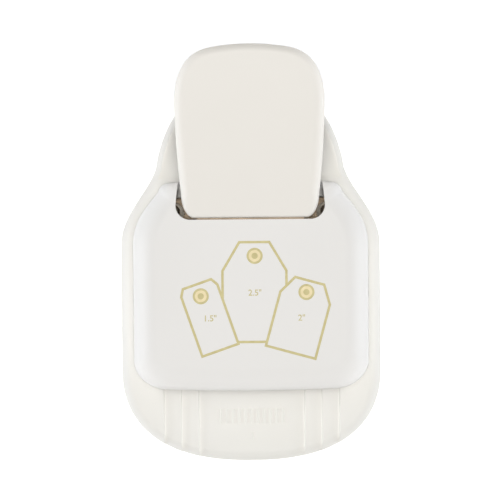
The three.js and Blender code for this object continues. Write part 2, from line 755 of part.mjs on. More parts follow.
function lever_frame() {
  const outer = across(frame_profile(0, true), -frame_outer, frame_outer);
  const inner = across(frame_profile(frame_steel, false), -frame_inner, frame_inner);
  const open_front = box(-frame_inner, frame_inner, 0, pivot_y + frame_boss_radius + roller_radius + fit_gap,
    0, housing_top);
  const pin_holes = [
    rod(pivot_y, pivot_z, pivot_radius + fit_gap, -frame_outer - overrun, frame_outer + overrun),
    rod(roller_y, roller_z, pivot_radius + fit_gap, -frame_outer - overrun, frame_outer + overrun),
  ];
  const screw_holes = lever_screw_ys.map((y) =>
    upright(0, y, lever_screw.shank + fit_gap, 0, lever_top(y), screw_sides));
  return cut(outer, inner, open_front, ...pin_holes, ...screw_holes);
}

function press_roller() {
  return cut(rod(roller_y, roller_z, roller_radius, -roller_length / 2, roller_length / 2, roller_sides),
    rod(roller_y, roller_z, pivot_radius + 2 * fit_gap, -roller_length, roller_length));
}

// A pin across the lever, with a riveted head at each end.
function roller_pin() {
  const face = frame_outer + fit_gap;
  return join(rod(roller_y, roller_z, pivot_radius, -face - overrun / 2, face + overrun / 2),
    rod(roller_y, roller_z, pivot_radius + roller_pin_head, -face - roller_pin_head, -face),
    rod(roller_y, roller_z, pivot_radius + roller_pin_head, face, face + roller_pin_head));
}

const clip_place = cheek_outer + fit_gap;
const pin_half = clip_place + clip_steel + fit_gap + pin_end;

function pivot_pin() {
  const groove_radius = pivot_radius - groove_depth;
  const inner = clip_place - fit_gap / 2;
  const outer = clip_place + clip_steel + fit_gap / 2;
  const grooves = sides.map(([, side]) => {
    const [a, b] = [side * inner, side * outer].sort((p, q) => p - q);
    return cut(rod(pivot_y, pivot_z, pivot_radius + overrun, a, b),
      rod(pivot_y, pivot_z, groove_radius, a - overrun, b + overrun));
  });
  return cut(rod(pivot_y, pivot_z, pivot_radius, -pin_half, pin_half), ...grooves);
}

// A spring clip: a ring, open at the bottom, that sits in the pin's groove.
function pivot_clip(side) {
  const [a, b] = [side * clip_place, side * (clip_place + clip_steel)].sort((p, q) => p - q);
  const bore = pivot_radius - groove_depth + fit_gap;
  return cut(rod(pivot_y, pivot_z, pivot_radius + clip_width, a, b),
    rod(pivot_y, pivot_z, bore, a - overrun, b + overrun),
    box(a - overrun, b + overrun, pivot_y - bore, pivot_y + bore, pivot_z - 2 * pivot_radius - clip_width,
      pivot_z));
}

function pivot_bracket() {
  const low = guide_top + fit_gap;
  const high = low + bracket_steel;
  const front = pivot_y - frame_boss_radius;
  const rear = pivot_y + frame_boss_radius;
  const cheeks = sides.map(([, side]) => {
    const [a, b] = [side * cheek_inner, side * cheek_outer].sort((p, q) => p - q);
    return join(box(a, b, front, rear, low, pivot_z), rod(pivot_y, pivot_z, frame_boss_radius, a, b));
  });
  const screw_holes = sides.map(([, side]) =>
    upright(side * bracket_screw_x, pivot_y, bracket_screw.shank + fit_gap, low - overrun, high + overrun,
      screw_sides));
  return cut(join(box(-bracket_half, bracket_half, front, rear, low, high), ...cheeks),
    rod(pivot_y, pivot_z, pivot_radius + fit_gap, -bracket_half, bracket_half), ...screw_holes);
}

// An eye round a post, on a neck along the punch that grows out of the carrier's wide part.
function ear(side, y, low, high) {
  const [a, b] = [side * (spring_x - ear_neck_inset), side * (spring_x + ear_radius)].sort((p, q) => p - q);
  const root = y > stop_y ? stop_y : blade_front;
  return join(box(a, b, Math.min(y, root), Math.max(y, root), low, high),
    upright(side * spring_x, y, ear_radius, low, high));
}

const blade_screw_x = blade_outer - blade_screw.head - overrun;
const blade_screw_ys = [stop_y - blade_screw.head - 2 * overrun,
  stop_y - blade_screw.head - 2 * overrun - 4 * blade_screw.head];
const carrier_screws = [
  ...sides.flatMap(([name, side]) => blade_screw_ys.map((y, i) =>
    [`blade_screw_${name}_${i + 1}`, side * blade_screw_x, y])),
  ["punch_screw", 0, hole_y],
];

// Plate that carries the blades. Its four ears slide on the posts.
function blade_carrier() {
  const body = join(
    box(-carrier_neck_width / 2, carrier_neck_width / 2, carrier_front, carrier_rear, carrier_bottom,
      carrier_top),
    box(-carrier_half, carrier_half, blade_front - carrier_side_margin, stop_y + carrier_side_margin,
      carrier_bottom, carrier_top),
    ...corners.map(([, side, y]) => ear(side, y, carrier_bottom, carrier_top)));
  const post_holes = corners.map(([, side, y]) =>
    upright(side * spring_x, y, post_radius + fit_gap, carrier_bottom - overrun, carrier_top + overrun,
      screw_sides));
  const screw_holes = carrier_screws.flatMap(([, x, y]) => [
    upright(x, y, blade_screw.head + fit_gap, carrier_top - blade_screw.cap - fit_gap, carrier_top + overrun,
      screw_sides),
    upright(x, y, blade_screw.shank + fit_gap, carrier_bottom - overrun, carrier_top, screw_sides)]);
  return cut(body, ...post_holes, ...screw_holes);
}

const tool_top = carrier_bottom - fit_gap;
const screw_seat = carrier_top - blade_screw.cap;

function tool_screw_hole(x, y) {
  return upright(x, y, blade_screw.shank + fit_gap, screw_seat - blade_screw.length - fit_gap, carrier_top,
    screw_sides);
}

function corner_blade(side) {
  return cut(plate(blade_outline(side), blade_bottom, tool_top),
    ...blade_screw_ys.map((y) => tool_screw_hole(side * blade_screw_x, y)));
}

function hole_punch() {
  return cut(upright(0, hole_y, punch_radius, blade_bottom, tool_top), tool_screw_hole(0, hole_y));
}

function guide_plate() {
  const outline = [[-guide_neck_half, guide_front], [guide_neck_half, guide_front],
    [guide_neck_half, die_front], ...plate_outline(die_front).slice(1), [-plate_half, die_front],
    [-guide_neck_half, die_front]];
  const low = guide_bottom - overrun;
  const high = guide_top + overrun;
  const post_holes = corners.map(([, side, y]) =>
    upright(side * spring_x, y, post_radius + fit_gap, guide_bottom + fit_gap, high, screw_sides));
  const bracket_holes = sides.map(([, side]) =>
    upright(side * bracket_screw_x, pivot_y, bracket_screw.shank + fit_gap, guide_bottom + fit_gap, high,
      screw_sides));
  return cut(plate(outline, guide_bottom, guide_top), ...punch_openings(low, high),
    ...set_screw_holes(low, high), ...post_holes, ...bracket_holes);
}

function die_plate() {
  const low = die_bottom - overrun;
  const high = die_top + overrun;
  return cut(plate(plate_outline(die_front), die_bottom, die_top), ...punch_openings(low, high),
    ...set_screw_holes(low, high));
}

const slot_low = die_top + fit_gap;
const slot_high = guide_bottom - fit_gap;

function spacer(side) {
  const [a, b] = [side * spacer_inner, side * plate_half].sort((p, q) => p - q);
  return cut(box(a, b, die_front, plate_rear - plate_corner_length, slot_low, slot_high),
    ...set_screw_holes(slot_low - overrun, slot_high + overrun));
}

// A bar behind the blades that the paper is pushed against.
function paper_stop() {
  const half = plate_half - plate_corner_width;
  return box(-half, half, stop_y + 2 * fit_gap, stop_y + 2 * fit_gap + stop_depth, slot_low, slot_high);
}

// A shouldered post: its foot stands in the guide plate, its head keeps the carrier down.
function guide_post(side, y) {
  const low = guide_bottom + 2 * fit_gap;
  const seat = carrier_top + fit_gap;
  return turned([[0, low], [post_radius, low], [post_radius, seat], [post_head_radius, seat],
    [post_head_radius, seat + post_head_height], [0, seat + post_head_height]], side * spring_x, y,
    screw_sides);
}

// Centre line of a conical spring about its own axis: straight ends and narrowing turns between them.
function spring_line() {
  const low = guide_top + fit_gap;
  const height = spring_height - 2 * fit_gap;
  const wound = height - 2 * spring_wire;
  const points = [new THREE.Vector3(spring_radius, 0, low)];
  const steps = spring_turns * steps_per_turn;
  for (let i = 0; i <= steps; i += 1) {
    const angle = (i / steps_per_turn) * 2 * Math.PI;
    const radius = spring_radius + (spring_top_radius - spring_radius) * (i / steps);
    points.push(new THREE.Vector3(radius * Math.cos(angle), radius * Math.sin(angle),
      low + spring_wire + (i / steps) * wound));
  }
  points.push(points[points.length - 1].clone().add(new THREE.Vector3(0, 0, spring_wire)));
  return points;
}

// Least distance between the surfaces of two turns, measured between points of the centre line.
function spring_self_gap(points) {
  let least = Infinity;
  for (let i = 0; i < points.length; i += 1) {
    for (let j = i + steps_per_turn / 2; j < points.length; j += 1) {
      least = Math.min(least, points[i].distanceTo(points[j]) - spring_wire);
    }
  }
  return least;
}

function return_spring(side, y) {
  const points = spring_line();
  const last = points.length - 1;
  const up = new THREE.Vector3(0, 0, 1);
  const rings = points.map((point, i) => {
    const out = new THREE.Vector3(point.x, point.y, 0).normalize();
    const along = i === 0 || i === last
      ? up.clone()
      : points[i + 1].clone().sub(points[i - 1]).normalize();
    const across_wire = along.clone().cross(out).normalize();
    const ring = [];
    for (let k = 0; k < wire_sides; k += 1) {
      const angle = (k / wire_sides) * 2 * Math.PI;
      ring.push(point.clone()
        .addScaledVector(out, (spring_wire / 2) * Math.cos(angle))
        .addScaledVector(across_wire, (spring_wire / 2) * Math.sin(angle)));
    }
    return ring;
  });
  const faces = [];
  for (let i = 0; i < last; i += 1) {
    for (let k = 0; k < wire_sides; k += 1) {
      const a = i * wire_sides + k;
      const b = i * wire_sides + ((k + 1) % wire_sides);
      faces.push(a, b, b + wire_sides, a, b + wire_sides, a + wire_sides);
    }
  }
  for (let k = 1; k + 1 < wire_sides; k += 1) {
    faces.push(0, k + 1, k);
    faces.push(last * wire_sides, last * wire_sides + k, last * wire_sides + k + 1);
  }
  const geometry = new THREE.BufferGeometry();
  geometry.setAttribute("position",
    new THREE.Float32BufferAttribute(rings.flat().flatMap((p) => [p.x, p.y, p.z]), 3));
  geometry.setIndex(faces);
  geometry.translate(side * spring_x, y, 0);
  return solid(geometry);
}

function rubber_foot(x, y) {
  return turned([[0, 0], [foot_radius - fit_gap, 0], [foot_radius, fit_gap], [foot_radius, foot_height],
    [0, foot_height]], x, y, hole_sides);
}

add("base_shell", base_shell(), base_white);
add("die_plate", die_plate(), plate_steel);
add("guide_plate", guide_plate(), plate_steel);
add("paper_stop", paper_stop(), plate_steel);
add("top_housing", top_housing(), housing_white);
add("pivot_bracket", pivot_bracket(), plate_steel);
add("pivot_pin", pivot_pin(), screw_zinc);
add("lever_shell", lever_shell(), lever_cream);
add("lever_frame", lever_frame(), plate_steel);
add("press_roller", press_roller(), blade_steel);
add("roller_pin", roller_pin(), screw_zinc);
add("blade_carrier", blade_carrier(), plate_steel);
add("hole_punch", hole_punch(), blade_steel);
for (const [name, side] of sides) {
  add(`spacer_${name}`, spacer(side), plate_steel);
  add(`corner_blade_${name}`, corner_blade(side), blade_steel);
  add(`pivot_clip_${name}`, pivot_clip(side), screw_zinc);
  add(`bracket_screw_${name}`, screw(bracket_screw, side * bracket_screw_x, pivot_y,
    guide_top + 2 * fit_gap + bracket_steel, 1), screw_zinc);
  set_screw_ys.forEach((y, i) => {
    add(`set_screw_${name}_${i + 1}`, screw(set_screw, side * set_screw_x, y, guide_top + fit_gap, 1),
      screw_zinc);
  });
}
for (const [name, side, y] of corners) {
  add(`guide_post_${name}`, guide_post(side, y), screw_zinc);
  add(`return_spring_${name}`, return_spring(side, y), spring_steel);
}
for (const [name, x, y] of carrier_screws) {
  add(name, screw(blade_screw, x, y, screw_seat, 1), screw_zinc);
}
for (const [name, x, y, size] of housing_screws) {
  add(`housing_screw_${name}`, screw(size, x, y, base_bottom + size.cap + fit_gap, -1), screw_zinc);
}
lever_screw_ys.forEach((y, i) => {
  add(`lever_screw_${i + 1}`, screw(lever_screw, 0, y, lever_screw_seat(y), -1), screw_zinc);
});
for (const [name, x, y] of feet) {
  add(`rubber_foot_${name}`, rubber_foot(x, y), foot_rubber);
}
console.log(`least gap between spring turns: ${spring_self_gap(spring_line()).toFixed(2)} mm`);

punch.position.y = -Math.max(base_end, lever_end) / 2;

export default punch;
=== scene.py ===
import math
from functools import partial

import bmesh
import bpy
from mathutils import Matrix, Vector


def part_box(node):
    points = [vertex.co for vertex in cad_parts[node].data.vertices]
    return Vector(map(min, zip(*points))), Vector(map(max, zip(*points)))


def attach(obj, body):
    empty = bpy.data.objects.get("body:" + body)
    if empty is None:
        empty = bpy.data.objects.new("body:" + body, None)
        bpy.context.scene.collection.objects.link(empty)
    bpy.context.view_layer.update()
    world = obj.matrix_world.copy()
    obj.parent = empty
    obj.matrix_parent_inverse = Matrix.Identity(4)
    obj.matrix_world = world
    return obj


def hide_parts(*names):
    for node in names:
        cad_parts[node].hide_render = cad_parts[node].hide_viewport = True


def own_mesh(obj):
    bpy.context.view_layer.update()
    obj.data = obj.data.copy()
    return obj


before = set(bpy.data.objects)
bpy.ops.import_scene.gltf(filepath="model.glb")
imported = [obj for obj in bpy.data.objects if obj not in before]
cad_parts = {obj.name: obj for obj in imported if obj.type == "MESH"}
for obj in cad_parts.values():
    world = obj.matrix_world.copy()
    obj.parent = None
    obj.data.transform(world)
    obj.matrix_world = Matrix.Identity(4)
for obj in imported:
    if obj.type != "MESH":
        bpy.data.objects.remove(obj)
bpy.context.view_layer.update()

# Lever punch that shapes the tops of paper tags of three widths, dressed for rendering.
# Sizes are in millimetres, Y measured from the front edge of the base as in the CAD, unless a name ends in _m.
MM = 0.001

# Camera: it looks straight down on the punch and is turned a little, as the photograph is.
camera_height = 750
camera_view_width = 186.5
camera_x = -0.2
camera_y = 3.45
camera_turn_deg = -0.48
sensor_width = 36
clip_start_m, clip_end_m = 0.05, 20


def add_object(name, data):
    made = bpy.data.objects.new(name, data)
    bpy.context.scene.collection.objects.link(made)
    return made


def adjust(thing, **settings):
    for name, value in settings.items():
        setattr(thing, name, value)
    return thing


def place_camera():
    data = adjust(bpy.data.cameras.new("photo_camera"), sensor_width=sensor_width, clip_start=clip_start_m,
                  clip_end=clip_end_m, lens=sensor_width * camera_height / camera_view_width)
    camera = adjust(add_object("photo_camera", data), rotation_euler=(0, 0, math.radians(camera_turn_deg)),
                    location=(camera_x * MM, camera_y * MM, camera_height * MM))
    bpy.context.scene.camera = camera


place_camera()

# Shared sizes, as in the CAD source.
row_shift = 74.25
fit_gap = 0.3
overrun = 1
base_bottom = 1.2
ledge_top = 6.2
floor_top = 10.0
step_rise = 0.95
deck_top = floor_top + 3 * step_rise
seam_gap = 0.12
housing_bottom = deck_top + seam_gap
housing_top = 46.0

channels = (19.3, 25.65, 32.0)
plate_half = 38.9
housing_half = 43.1
base_half = 47.6
frame_outer = 19.0
lever_half = 24.25
notch_half = 26.2

tray_length = 26.1
die_front = 45.29
notch_y = 88.45
lever_y = 89.05
plate_rear = 96.7
housing_rear = 103.8
side_end = 80.0
base_end = 143.5
lever_length = 59.45

# Base.
base_front_length = 34.8
base_front_power = 2.38
base_shoulder_length = 28
base_shoulder_shares = [(1, 0), (1, 0.393), (0.779, 0.696), (0.728, 1)]
base_rear_radius = 42
base_rear_half = 35
foot_edge_radius = 1
rim_radius = 3.9
base_wall = 2.4
base_under = 7.8
rear_rim_width = 2.2
rear_recess_depth = 1.2
tray_edge_radius = 0.6
tray_foot_radius = 0.3
die_ring_wall = 2.7
die_ledge = 4.6
plate_corner_width = 10.3
plate_corner_length = 13.9
foot_radius = 5
foot_height = 2.6
boss_wall = 2
rib_width = 1.4
rib_foot_gap = 1.6

# Housing.
housing_wall = 2.7
housing_side_slope = 10
housing_front_slope = 11.4
housing_rear_slope = 6
housing_draft = 1.8
housing_fillet_height = 9.5
housing_bow = 0.6
housing_corner = (12.8, 11.2)
top_corner = (8, 7)
housing_shoulder_shares = [(1, 0), (1, 0.347), (0.895, 0.551), (0.785, 0.8)]
housing_corner_shares = [(0.765, 0.925), (0.7, 0.945), (0.35, 1)]
arc_share = 0.55
notch_radius = 5
notch_draft = 1
sill_top = 21.15
mouth_half = 33.5
mouth_top = 17.05
mouth_rear = 34.1
mouth_radius = 1.2
boss_radius = 3.2
boss_height = 20
rear_boss_height = 7
rear_shelf_thickness = 2.2

# Lever shell.
lever_wall = 2.2
lever_flare = 1.75
lever_rise = 19
lever_rise_shares = (1.2, -0.2)
lever_front_skirt = 8
lever_rear_skirt = 13
lever_edge_radius = 3.5
lever_front_edge_radius = 1
lever_front_corner = (4.6, 8.5)
lever_end_width = 26
lever_end_bow = 1.1
lever_corner_length = 19
lever_side_shares = [(0, 0), (0.45, 0.27), (0.96, 0.62), (1, 1)]
lever_corner_shares = [(0, 0), (0, 0.585), (0.331, 0.931), (1, 1)]
lever_boss_radius = 3
lever_boss_height = 2.6
lever_screw_setbacks = (16, 36.35)
lever_hole_depth = 2.4
lever_ring_shares = [i / 12 for i in range(1, 12)] + [0.98]

# Screws and posts: shank radius, head radius, head height and length.
set_screw = (1.5, 2.7, 1.8, 13)
bracket_screw = (1.2, 2.2, 1.5, 5)
front_housing_screw = (1.3, 2.8, 1.8, 18)
rear_housing_screw = (1.3, 2.8, 1.8, 14)
lever_screw = (1.2, 2.4, 1.5, 5.2)
blade_screw = (1.2, 2.2, 1.5, 7)
guide_post = (1.25, 2.4, 1.4, 18.6)

# Smoothness of the round forms.
curve_steps = 14
fillet_steps = 10
tray_edge_steps = 5
mouth_steps = 6
round_sides = 48
rod_sides = 64
head_sides = 40
shank_sides = 32
thread_sides = 4
thread_steps = 20
coil_steps = 30
wire_sides = 12
ridge_sides = 20
sharp_deg = 32
steel_sharp_deg = 40
form_sharp_deg = 35
flat_deg = 0.2
joined_within = 0.004
steel_joined_within = 0.002
moulded_edge = 0.3
housing_edge = 0.2
steel_edge = 0.12


# Nodes and materials.
def linear(hex_colour):
    """An sRGB hex colour as the linear values that Blender's sockets take."""
    shares = [int(hex_colour[i:i + 2], 16) / 255 for i in (1, 3, 5)]
    return (*[s / 12.92 if s <= 0.04045 else ((s + 0.055) / 1.055) ** 2.4 for s in shares], 1)


def put(tree, kind, inputs=None, **settings):
    """Adds a node. An input is a value, or what feeds it: a socket, a node (its first output) or a list of them."""
    node = adjust(tree.nodes.new(kind), **settings)
    for key, value in (inputs or {}).items():
        for feed in value if isinstance(value, list) else [value]:
            if isinstance(feed, bpy.types.Node):
                feed = feed.outputs[0]
            if isinstance(feed, bpy.types.NodeSocket):
                tree.links.new(feed, node.inputs[key])
            else:
                node.inputs[key].default_value = feed
    return node


def start_material(name):
    material = bpy.data.materials.new(name)
    material.use_nodes = True
    material.node_tree.nodes.clear()
    return material, material.node_tree


def surface(name, colour, shade, clouds, marks, rough, relief, stretch=None, **body):
    """A finish: one noise clouds the colour, and another gives grain or tool marks their gloss and relief.

    clouds and marks are a noise's size in mm, detail and roughness; rough is the surface's lowest and highest
    roughness; relief is a strength and a depth in mm; stretch is the marks' length in X, Y and Z.
    """
    material, tree = start_material(name)
    place = put(tree, "ShaderNodeTexCoord").outputs["Object"]
    along = place
    if stretch:
        along = put(tree, "ShaderNodeMapping", {"Vector": place, "Scale": tuple(1 / s for s in stretch)})
    cloud, mark = [
        put(tree, "ShaderNodeTexNoise", {
            "Vector": vector, "Scale": 1 / (size * MM), "Detail": detail, "Roughness": roughness})
        for vector, (size, detail, roughness) in ((place, clouds), (along, marks))]
    tint = put(tree, "ShaderNodeMix", {0: cloud, 6: linear(colour), 7: linear(shade)}, data_type="RGBA")
    dull = put(tree, "ShaderNodeMapRange", {"Value": mark, "To Min": rough[0], "To Max": rough[1]})
    bump = put(tree, "ShaderNodeBump", {"Height": mark, "Strength": relief[0], "Distance": relief[1] * MM})
    shader = put(tree, "ShaderNodeBsdfPrincipled", {
        "Base Color": tint.outputs[2], "Roughness": dull, "Normal": bump, **body})
    put(tree, "ShaderNodeOutputMaterial", {"Surface": shader})
    return material


def moulded_plastic(name, colour, shade, gloss):
    """An injection-moulded shell: one colour through and through, over a fine spark-eroded grain."""
    return surface(name, colour, shade, clouds=(35, 2, 0.5), marks=(0.35, 3, 0.6), rough=(gloss - 0.06, gloss + 0.08),
                   relief=(0.12, 0.04), IOR=1.53)


def worked_metal(name, colour, shade, line_mm, stretch, gloss, depth_mm):
    """A metal whose tool marks run along one direction; stretch gives their length in X, Y and Z."""
    return surface(name, colour, shade, clouds=(9, 4, 0.5), marks=(line_mm, 3, 0.5),
                   rough=(gloss - 0.07, gloss + 0.1), relief=(0.35, depth_mm), stretch=stretch, Metallic=1.0)


def foil_print(name, colour, shade):
    """Hot-stamped foil: a thin warm metal film that takes up the grain of the plastic under it."""
    return surface(name, colour, shade, clouds=(1.2, 3, 0.5), marks=(1.2, 3, 0.5), rough=(0.47, 0.67),
                   relief=(0.2, 0.02), Metallic=0.15)


# White ABS, moulded: neutral, satin, with soft broad highlights on the housing's rounded edges.
housing_abs = moulded_plastic("white_abs_housing", "#F3F1EE", "#F0EEEA", 0.6)
# Off-white ABS of the base: a little yellower and warmer than the housing.
base_abs = moulded_plastic("off_white_abs_base", "#F0EEE9", "#EDEBE4", 0.6)
# Cream ABS of the lever: pinkish beside the housing, as the handle has no gloss to wash it out.
lever_abs = moulded_plastic("cream_abs_lever", "#F5F1EA", "#F2EEE6", 0.56)
# Cold-rolled steel, oiled: brown-grey with fine rolling lines across the punch.
rolled_steel = worked_metal("cold_rolled_steel", "#766959", "#5B4F43", 0.5, (14, 1, 1), 0.42, 0.012)
# Hardened tool steel, ground: brighter, with short grinding lines along the cut.
ground_steel = worked_metal("ground_tool_steel", "#B4B0A9", "#98938A", 0.3, (1, 1, 9), 0.26, 0.008)
# Spring steel wire, drawn and oiled: thin bright lines along the turns.
drawn_wire = worked_metal("drawn_spring_wire", "#F4EDE2", "#E3DACD", 0.25, (3, 3, 1), 0.66, 0.006)
# Zinc-plated steel: pale blue-white with faint cloudy bloom.
plated_zinc = worked_metal("bright_zinc_plate", "#C9CBCC", "#B1B2B0", 0.4, (1, 1, 1), 0.3, 0.006)
# Guide posts: free-cutting steel, turned, coloured dark brown-grey as painted shade, so that their heads deep in the
# notch stay as dark as the shade there.
shade_dark_post_steel = worked_metal("shade_darkened_turned_steel", "#5F574C", "#4B443B", 0.3, (1, 1, 1), 0.5, 0.006)
# Gold hot-stamping foil on the housing's top.
gold_foil = foil_print("gold_stamping_foil", "#CBC18E", "#C3B782")
# Paler gold foil inside the eyelets.
pale_foil = foil_print("pale_gold_foil", "#EBDDB4", "#E5D4A6")
# Natural rubber feet: dark grey, nearly matt, with a bloom of talc in the pores.
foot_rubber = surface("dark_rubber_foot", "#2C2B2A", "#474543", clouds=(0.5, 5, 0.5), marks=(0.5, 5, 0.5),
                      rough=(0.72, 0.92), relief=(0.4, 0.05), IOR=1.52)


# Outlines. Each is a list of (x, y), counterclockwise from above.
def bezier(controls, steps=curve_steps):
    """Points of a Bezier curve through its control points, without its last point."""
    points = []
    for i in range(steps):
        left = [Vector(c) for c in controls]
        while len(left) > 1:
            left = [a.lerp(b, i / steps) for a, b in zip(left, left[1:])]
        points.append((left[0].x, left[0].y))
    return points


def mirrored(half):
    """The right half of an outline, from front middle to rear middle, closed by its mirror image."""
    return half + [(-x, y) for x, y in reversed(half[1:-1])]


def round_corner(half, y, width, length):
    """A corner's curve, from its front edge at y to its side at half."""
    arc = 1 - arc_share
    return bezier([(half - width, y), (half - width * arc, y), (half, y + length * arc), (half, y + length)])


def inset_by(outline, distance_at):
    """An outline moved inwards along its own normals, each point by the distance for its Y."""
    count = len(outline)
    moved = []
    for i, (x, y) in enumerate(outline):
        ax, ay = outline[i - 1]
        bx, by = outline[(i + 1) % count]
        length = math.hypot(bx - ax, by - ay)
        distance = distance_at(y)
        moved.append((x - (by - ay) / length * distance, y + (bx - ax) / length * distance))
    return moved


def inset(outline, distance):
    return inset_by(outline, lambda y: distance)


def grown(polygon, distance):
    """A convex polygon with each side moved outwards."""
    count = len(polygon)
    lines = []
    for i, (x, y) in enumerate(polygon):
        nx, ny = polygon[(i + 1) % count]
        along = Vector((nx - x, ny - y)).normalized()
        lines.append((Vector((x, y)) + Vector((along.y, -along.x)) * distance, along))
    corners = []
    for i in range(count):
        (a, a_along), (b, b_along) = lines[i - 1], lines[i]
        cross = a_along.x * b_along.y - a_along.y * b_along.x
        t = ((b.x - a.x) * b_along.y - (b.y - a.y) * b_along.x) / cross
        corners.append(tuple(a + a_along * t))
    return corners


def blend_outlines(start, end, share):
    return [(x + (u - x) * share, y + (v - y) * share) for (x, y), (u, v) in zip(start, end)]


def scaled(shares, width, length, from_y):
    return [(width * w, from_y + length * l) for w, l in shares]


def round_off(steps):
    """A quarter circle of radius 1: how far its points are from one side of the corner and from the other."""
    angles = [i / steps * math.pi / 2 for i in range(steps + 1)]
    return [(1 - math.sin(angle), 1 - math.cos(angle)) for angle in angles]


def both_halves(right):
    """A section in X and Z, closed by its mirror image."""
    return right + [(-x, z) for x, z in reversed(right)]


def base_outline():
    """A rounded front, straight sides, shoulders and a narrower round rear."""
    front_steps, rear_steps = 3 * curve_steps, 2 * curve_steps
    power = 2 / base_front_power
    front = []
    for i in range(front_steps):
        angle = i / front_steps * math.pi / 2
        front.append((base_half * math.sin(angle) ** power,
                      base_front_length * (1 - math.cos(angle) ** power)))
    shoulder = bezier(scaled(base_shoulder_shares, base_half, base_shoulder_length, side_end), rear_steps)
    rear_y = base_end - base_rear_radius
    first = math.asin((side_end + base_shoulder_length - rear_y) / base_rear_radius)
    rear = []
    for i in range(rear_steps + 1):
        angle = first + i / rear_steps * (math.pi / 2 - first)
        rear.append((base_rear_half * math.cos(angle), rear_y + base_rear_radius * math.sin(angle)))
    rear[-1] = (0, rear[-1][1])
    return mirrored(front + [(base_half, base_front_length)] + shoulder + rear)


def plate_outline(front):
    """The punch set's plates: a rectangle with its rear corners cut off."""
    side_rear = plate_rear - plate_corner_length
    inner = plate_half - plate_corner_width
    return [(-plate_half, front), (plate_half, front), (plate_half, side_rear),
            (inner, plate_rear), (-inner, plate_rear), (-plate_half, side_rear)]


def housing_outline(half, front, corner, side_stop, rear):
    corner_x, corner_y = half - corner[0], front + housing_bow
    outline = bezier([(0, front), (corner_x / 2, front), (corner_x, corner_y)])
    outline += round_corner(half, corner_y, *corner)
    turn, turn_end, bend = housing_corner_shares
    for shares in (housing_shoulder_shares, [housing_shoulder_shares[-1], turn, turn_end], [turn_end, bend, (0, 1)]):
        outline += bezier(scaled(shares, half, rear - side_stop, side_stop))
    return mirrored(outline + [(0, rear)])


def lever_outline():
    wide = lever_half + lever_flare
    corner_width, corner_length = lever_front_corner
    side_start, lever_end = lever_y + corner_length, lever_y + lever_length
    corner_start = lever_end - lever_end_bow - lever_corner_length
    front = [(0, lever_y), ((lever_half - corner_width) / 2, lever_y)]
    front += round_corner(lever_half, lever_y, corner_width, corner_length)
    flank = bezier([(lever_half + lever_flare * w, side_start + (corner_start - side_start) * l)
                    for w, l in lever_side_shares])
    corner = bezier([(wide - (wide - lever_end_width / 2) * w, corner_start + lever_corner_length * l)
                     for w, l in lever_corner_shares], 2 * curve_steps)
    end = bezier([(lever_end_width / 2, lever_end - lever_end_bow), (lever_end_width / 4, lever_end),
                  (0, lever_end)], curve_steps // 2)
    return mirrored(front + flank + corner + end + [(0, lever_end)])


def lever_top(y):
    share = (y - lever_y) / lever_length
    return housing_top + lever_rise * (lever_rise_shares[0] * share + lever_rise_shares[1] * share ** 2)


def along_lever(y, length, start, end):
    """A size that changes evenly over a length from the lever's front, and then stays."""
    return start + (end - start) * min(max((y - lever_y) / length, 0), 1)


# Solids. Points are in millimetres and move to the frame's metres as the mesh is made.
def to_frame(point):
    return (point[0] * MM, (point[1] - row_shift) * MM, point[2] * MM)


def solid(name, points, faces):
    mesh = bpy.data.meshes.new(name)
    mesh.from_pydata([to_frame(p) for p in points], [], faces)
    shape = bmesh.new()
    shape.from_mesh(mesh)
    bmesh.ops.triangulate(shape, faces=[f for f in shape.faces if len(f.verts) > 4], ngon_method="EAR_CLIP")
    bmesh.ops.recalc_face_normals(shape, faces=shape.faces)
    shape.to_mesh(mesh)
    shape.free()
    return add_object(name, mesh)


def skin(count, rings=2, start=0):
    """Faces over rings of count points each, capped at both ends."""
    stop = start + count * rings
    faces = [list(reversed(range(start, start + count))), list(range(stop - count, stop))]
    for first in range(start, stop - count, count):
        for i in range(count):
            a, b = first + i, first + (i + 1) % count
            faces.append([a, b, b + count, a + count])
    return faces


def loft(name, rings):
    """Closed rings of (x, y, z), skinned from the lowest to the highest and capped."""
    return solid(name, [p for ring in rings for p in ring], skin(len(rings[0]), len(rings)))


def at_height(outline, z):
    return [(x, y, z) for x, y in outline]


def plate(outline, low, high):
    return loft("plate", [at_height(outline, low), at_height(outline, high)])


def box(left, right, front, rear, low, high):
    return plate([(left, front), (right, front), (right, rear), (left, rear)], low, high)


def disc(x, y, radius, sides=round_sides):
    return [(x + radius * math.cos(2 * math.pi * i / sides), y + radius * math.sin(2 * math.pi * i / sides))
            for i in range(sides)]


def upright(x, y, radius, low, high, sides=round_sides):
    return plate(disc(x, y, radius, sides), low, high)


def along_y(section, front, rear):
    """A section in X and Z, drawn from one Y to another."""
    return loft("section", [[(x, y, z) for x, z in section] for y in (front, rear)])


def rod(y, z, radius, left, right):
    """A round bar across the punch."""
    sides = rod_sides
    points = [(x, *p) for x in (left, right) for p in disc(y, z, radius, sides)]
    faces = [list(range(sides)), list(reversed(range(sides, 2 * sides)))]
    faces += [[i, i + sides, (i + 1) % sides + sides, (i + 1) % sides] for i in range(sides)]
    return solid("rod", points, faces)


def evaluated_mesh(made):
    return bpy.data.meshes.new_from_object(made.evaluated_get(bpy.context.evaluated_depsgraph_get()))


def settle(made):
    """Applies an object's modifiers to its mesh."""
    mesh = evaluated_mesh(made)
    made.modifiers.clear()
    old = made.data
    made.data = mesh
    bpy.data.meshes.remove(old)
    return made


def boolean(operation, body, *tools):
    for tool in tools:
        adjust(body.modifiers.new("boolean", "BOOLEAN"), operation=operation, solver="MANIFOLD", object=tool)
        settle(body)
        bpy.data.objects.remove(tool)
    return body


cut, join, common = [partial(boolean, operation) for operation in ("DIFFERENCE", "UNION", "INTERSECT")]


def break_edges(made, width, segments, angle_deg):
    adjust(made.modifiers.new("broken_edges", "BEVEL"), width=width * MM, segments=segments, limit_method="ANGLE",
           angle_limit=math.radians(angle_deg))


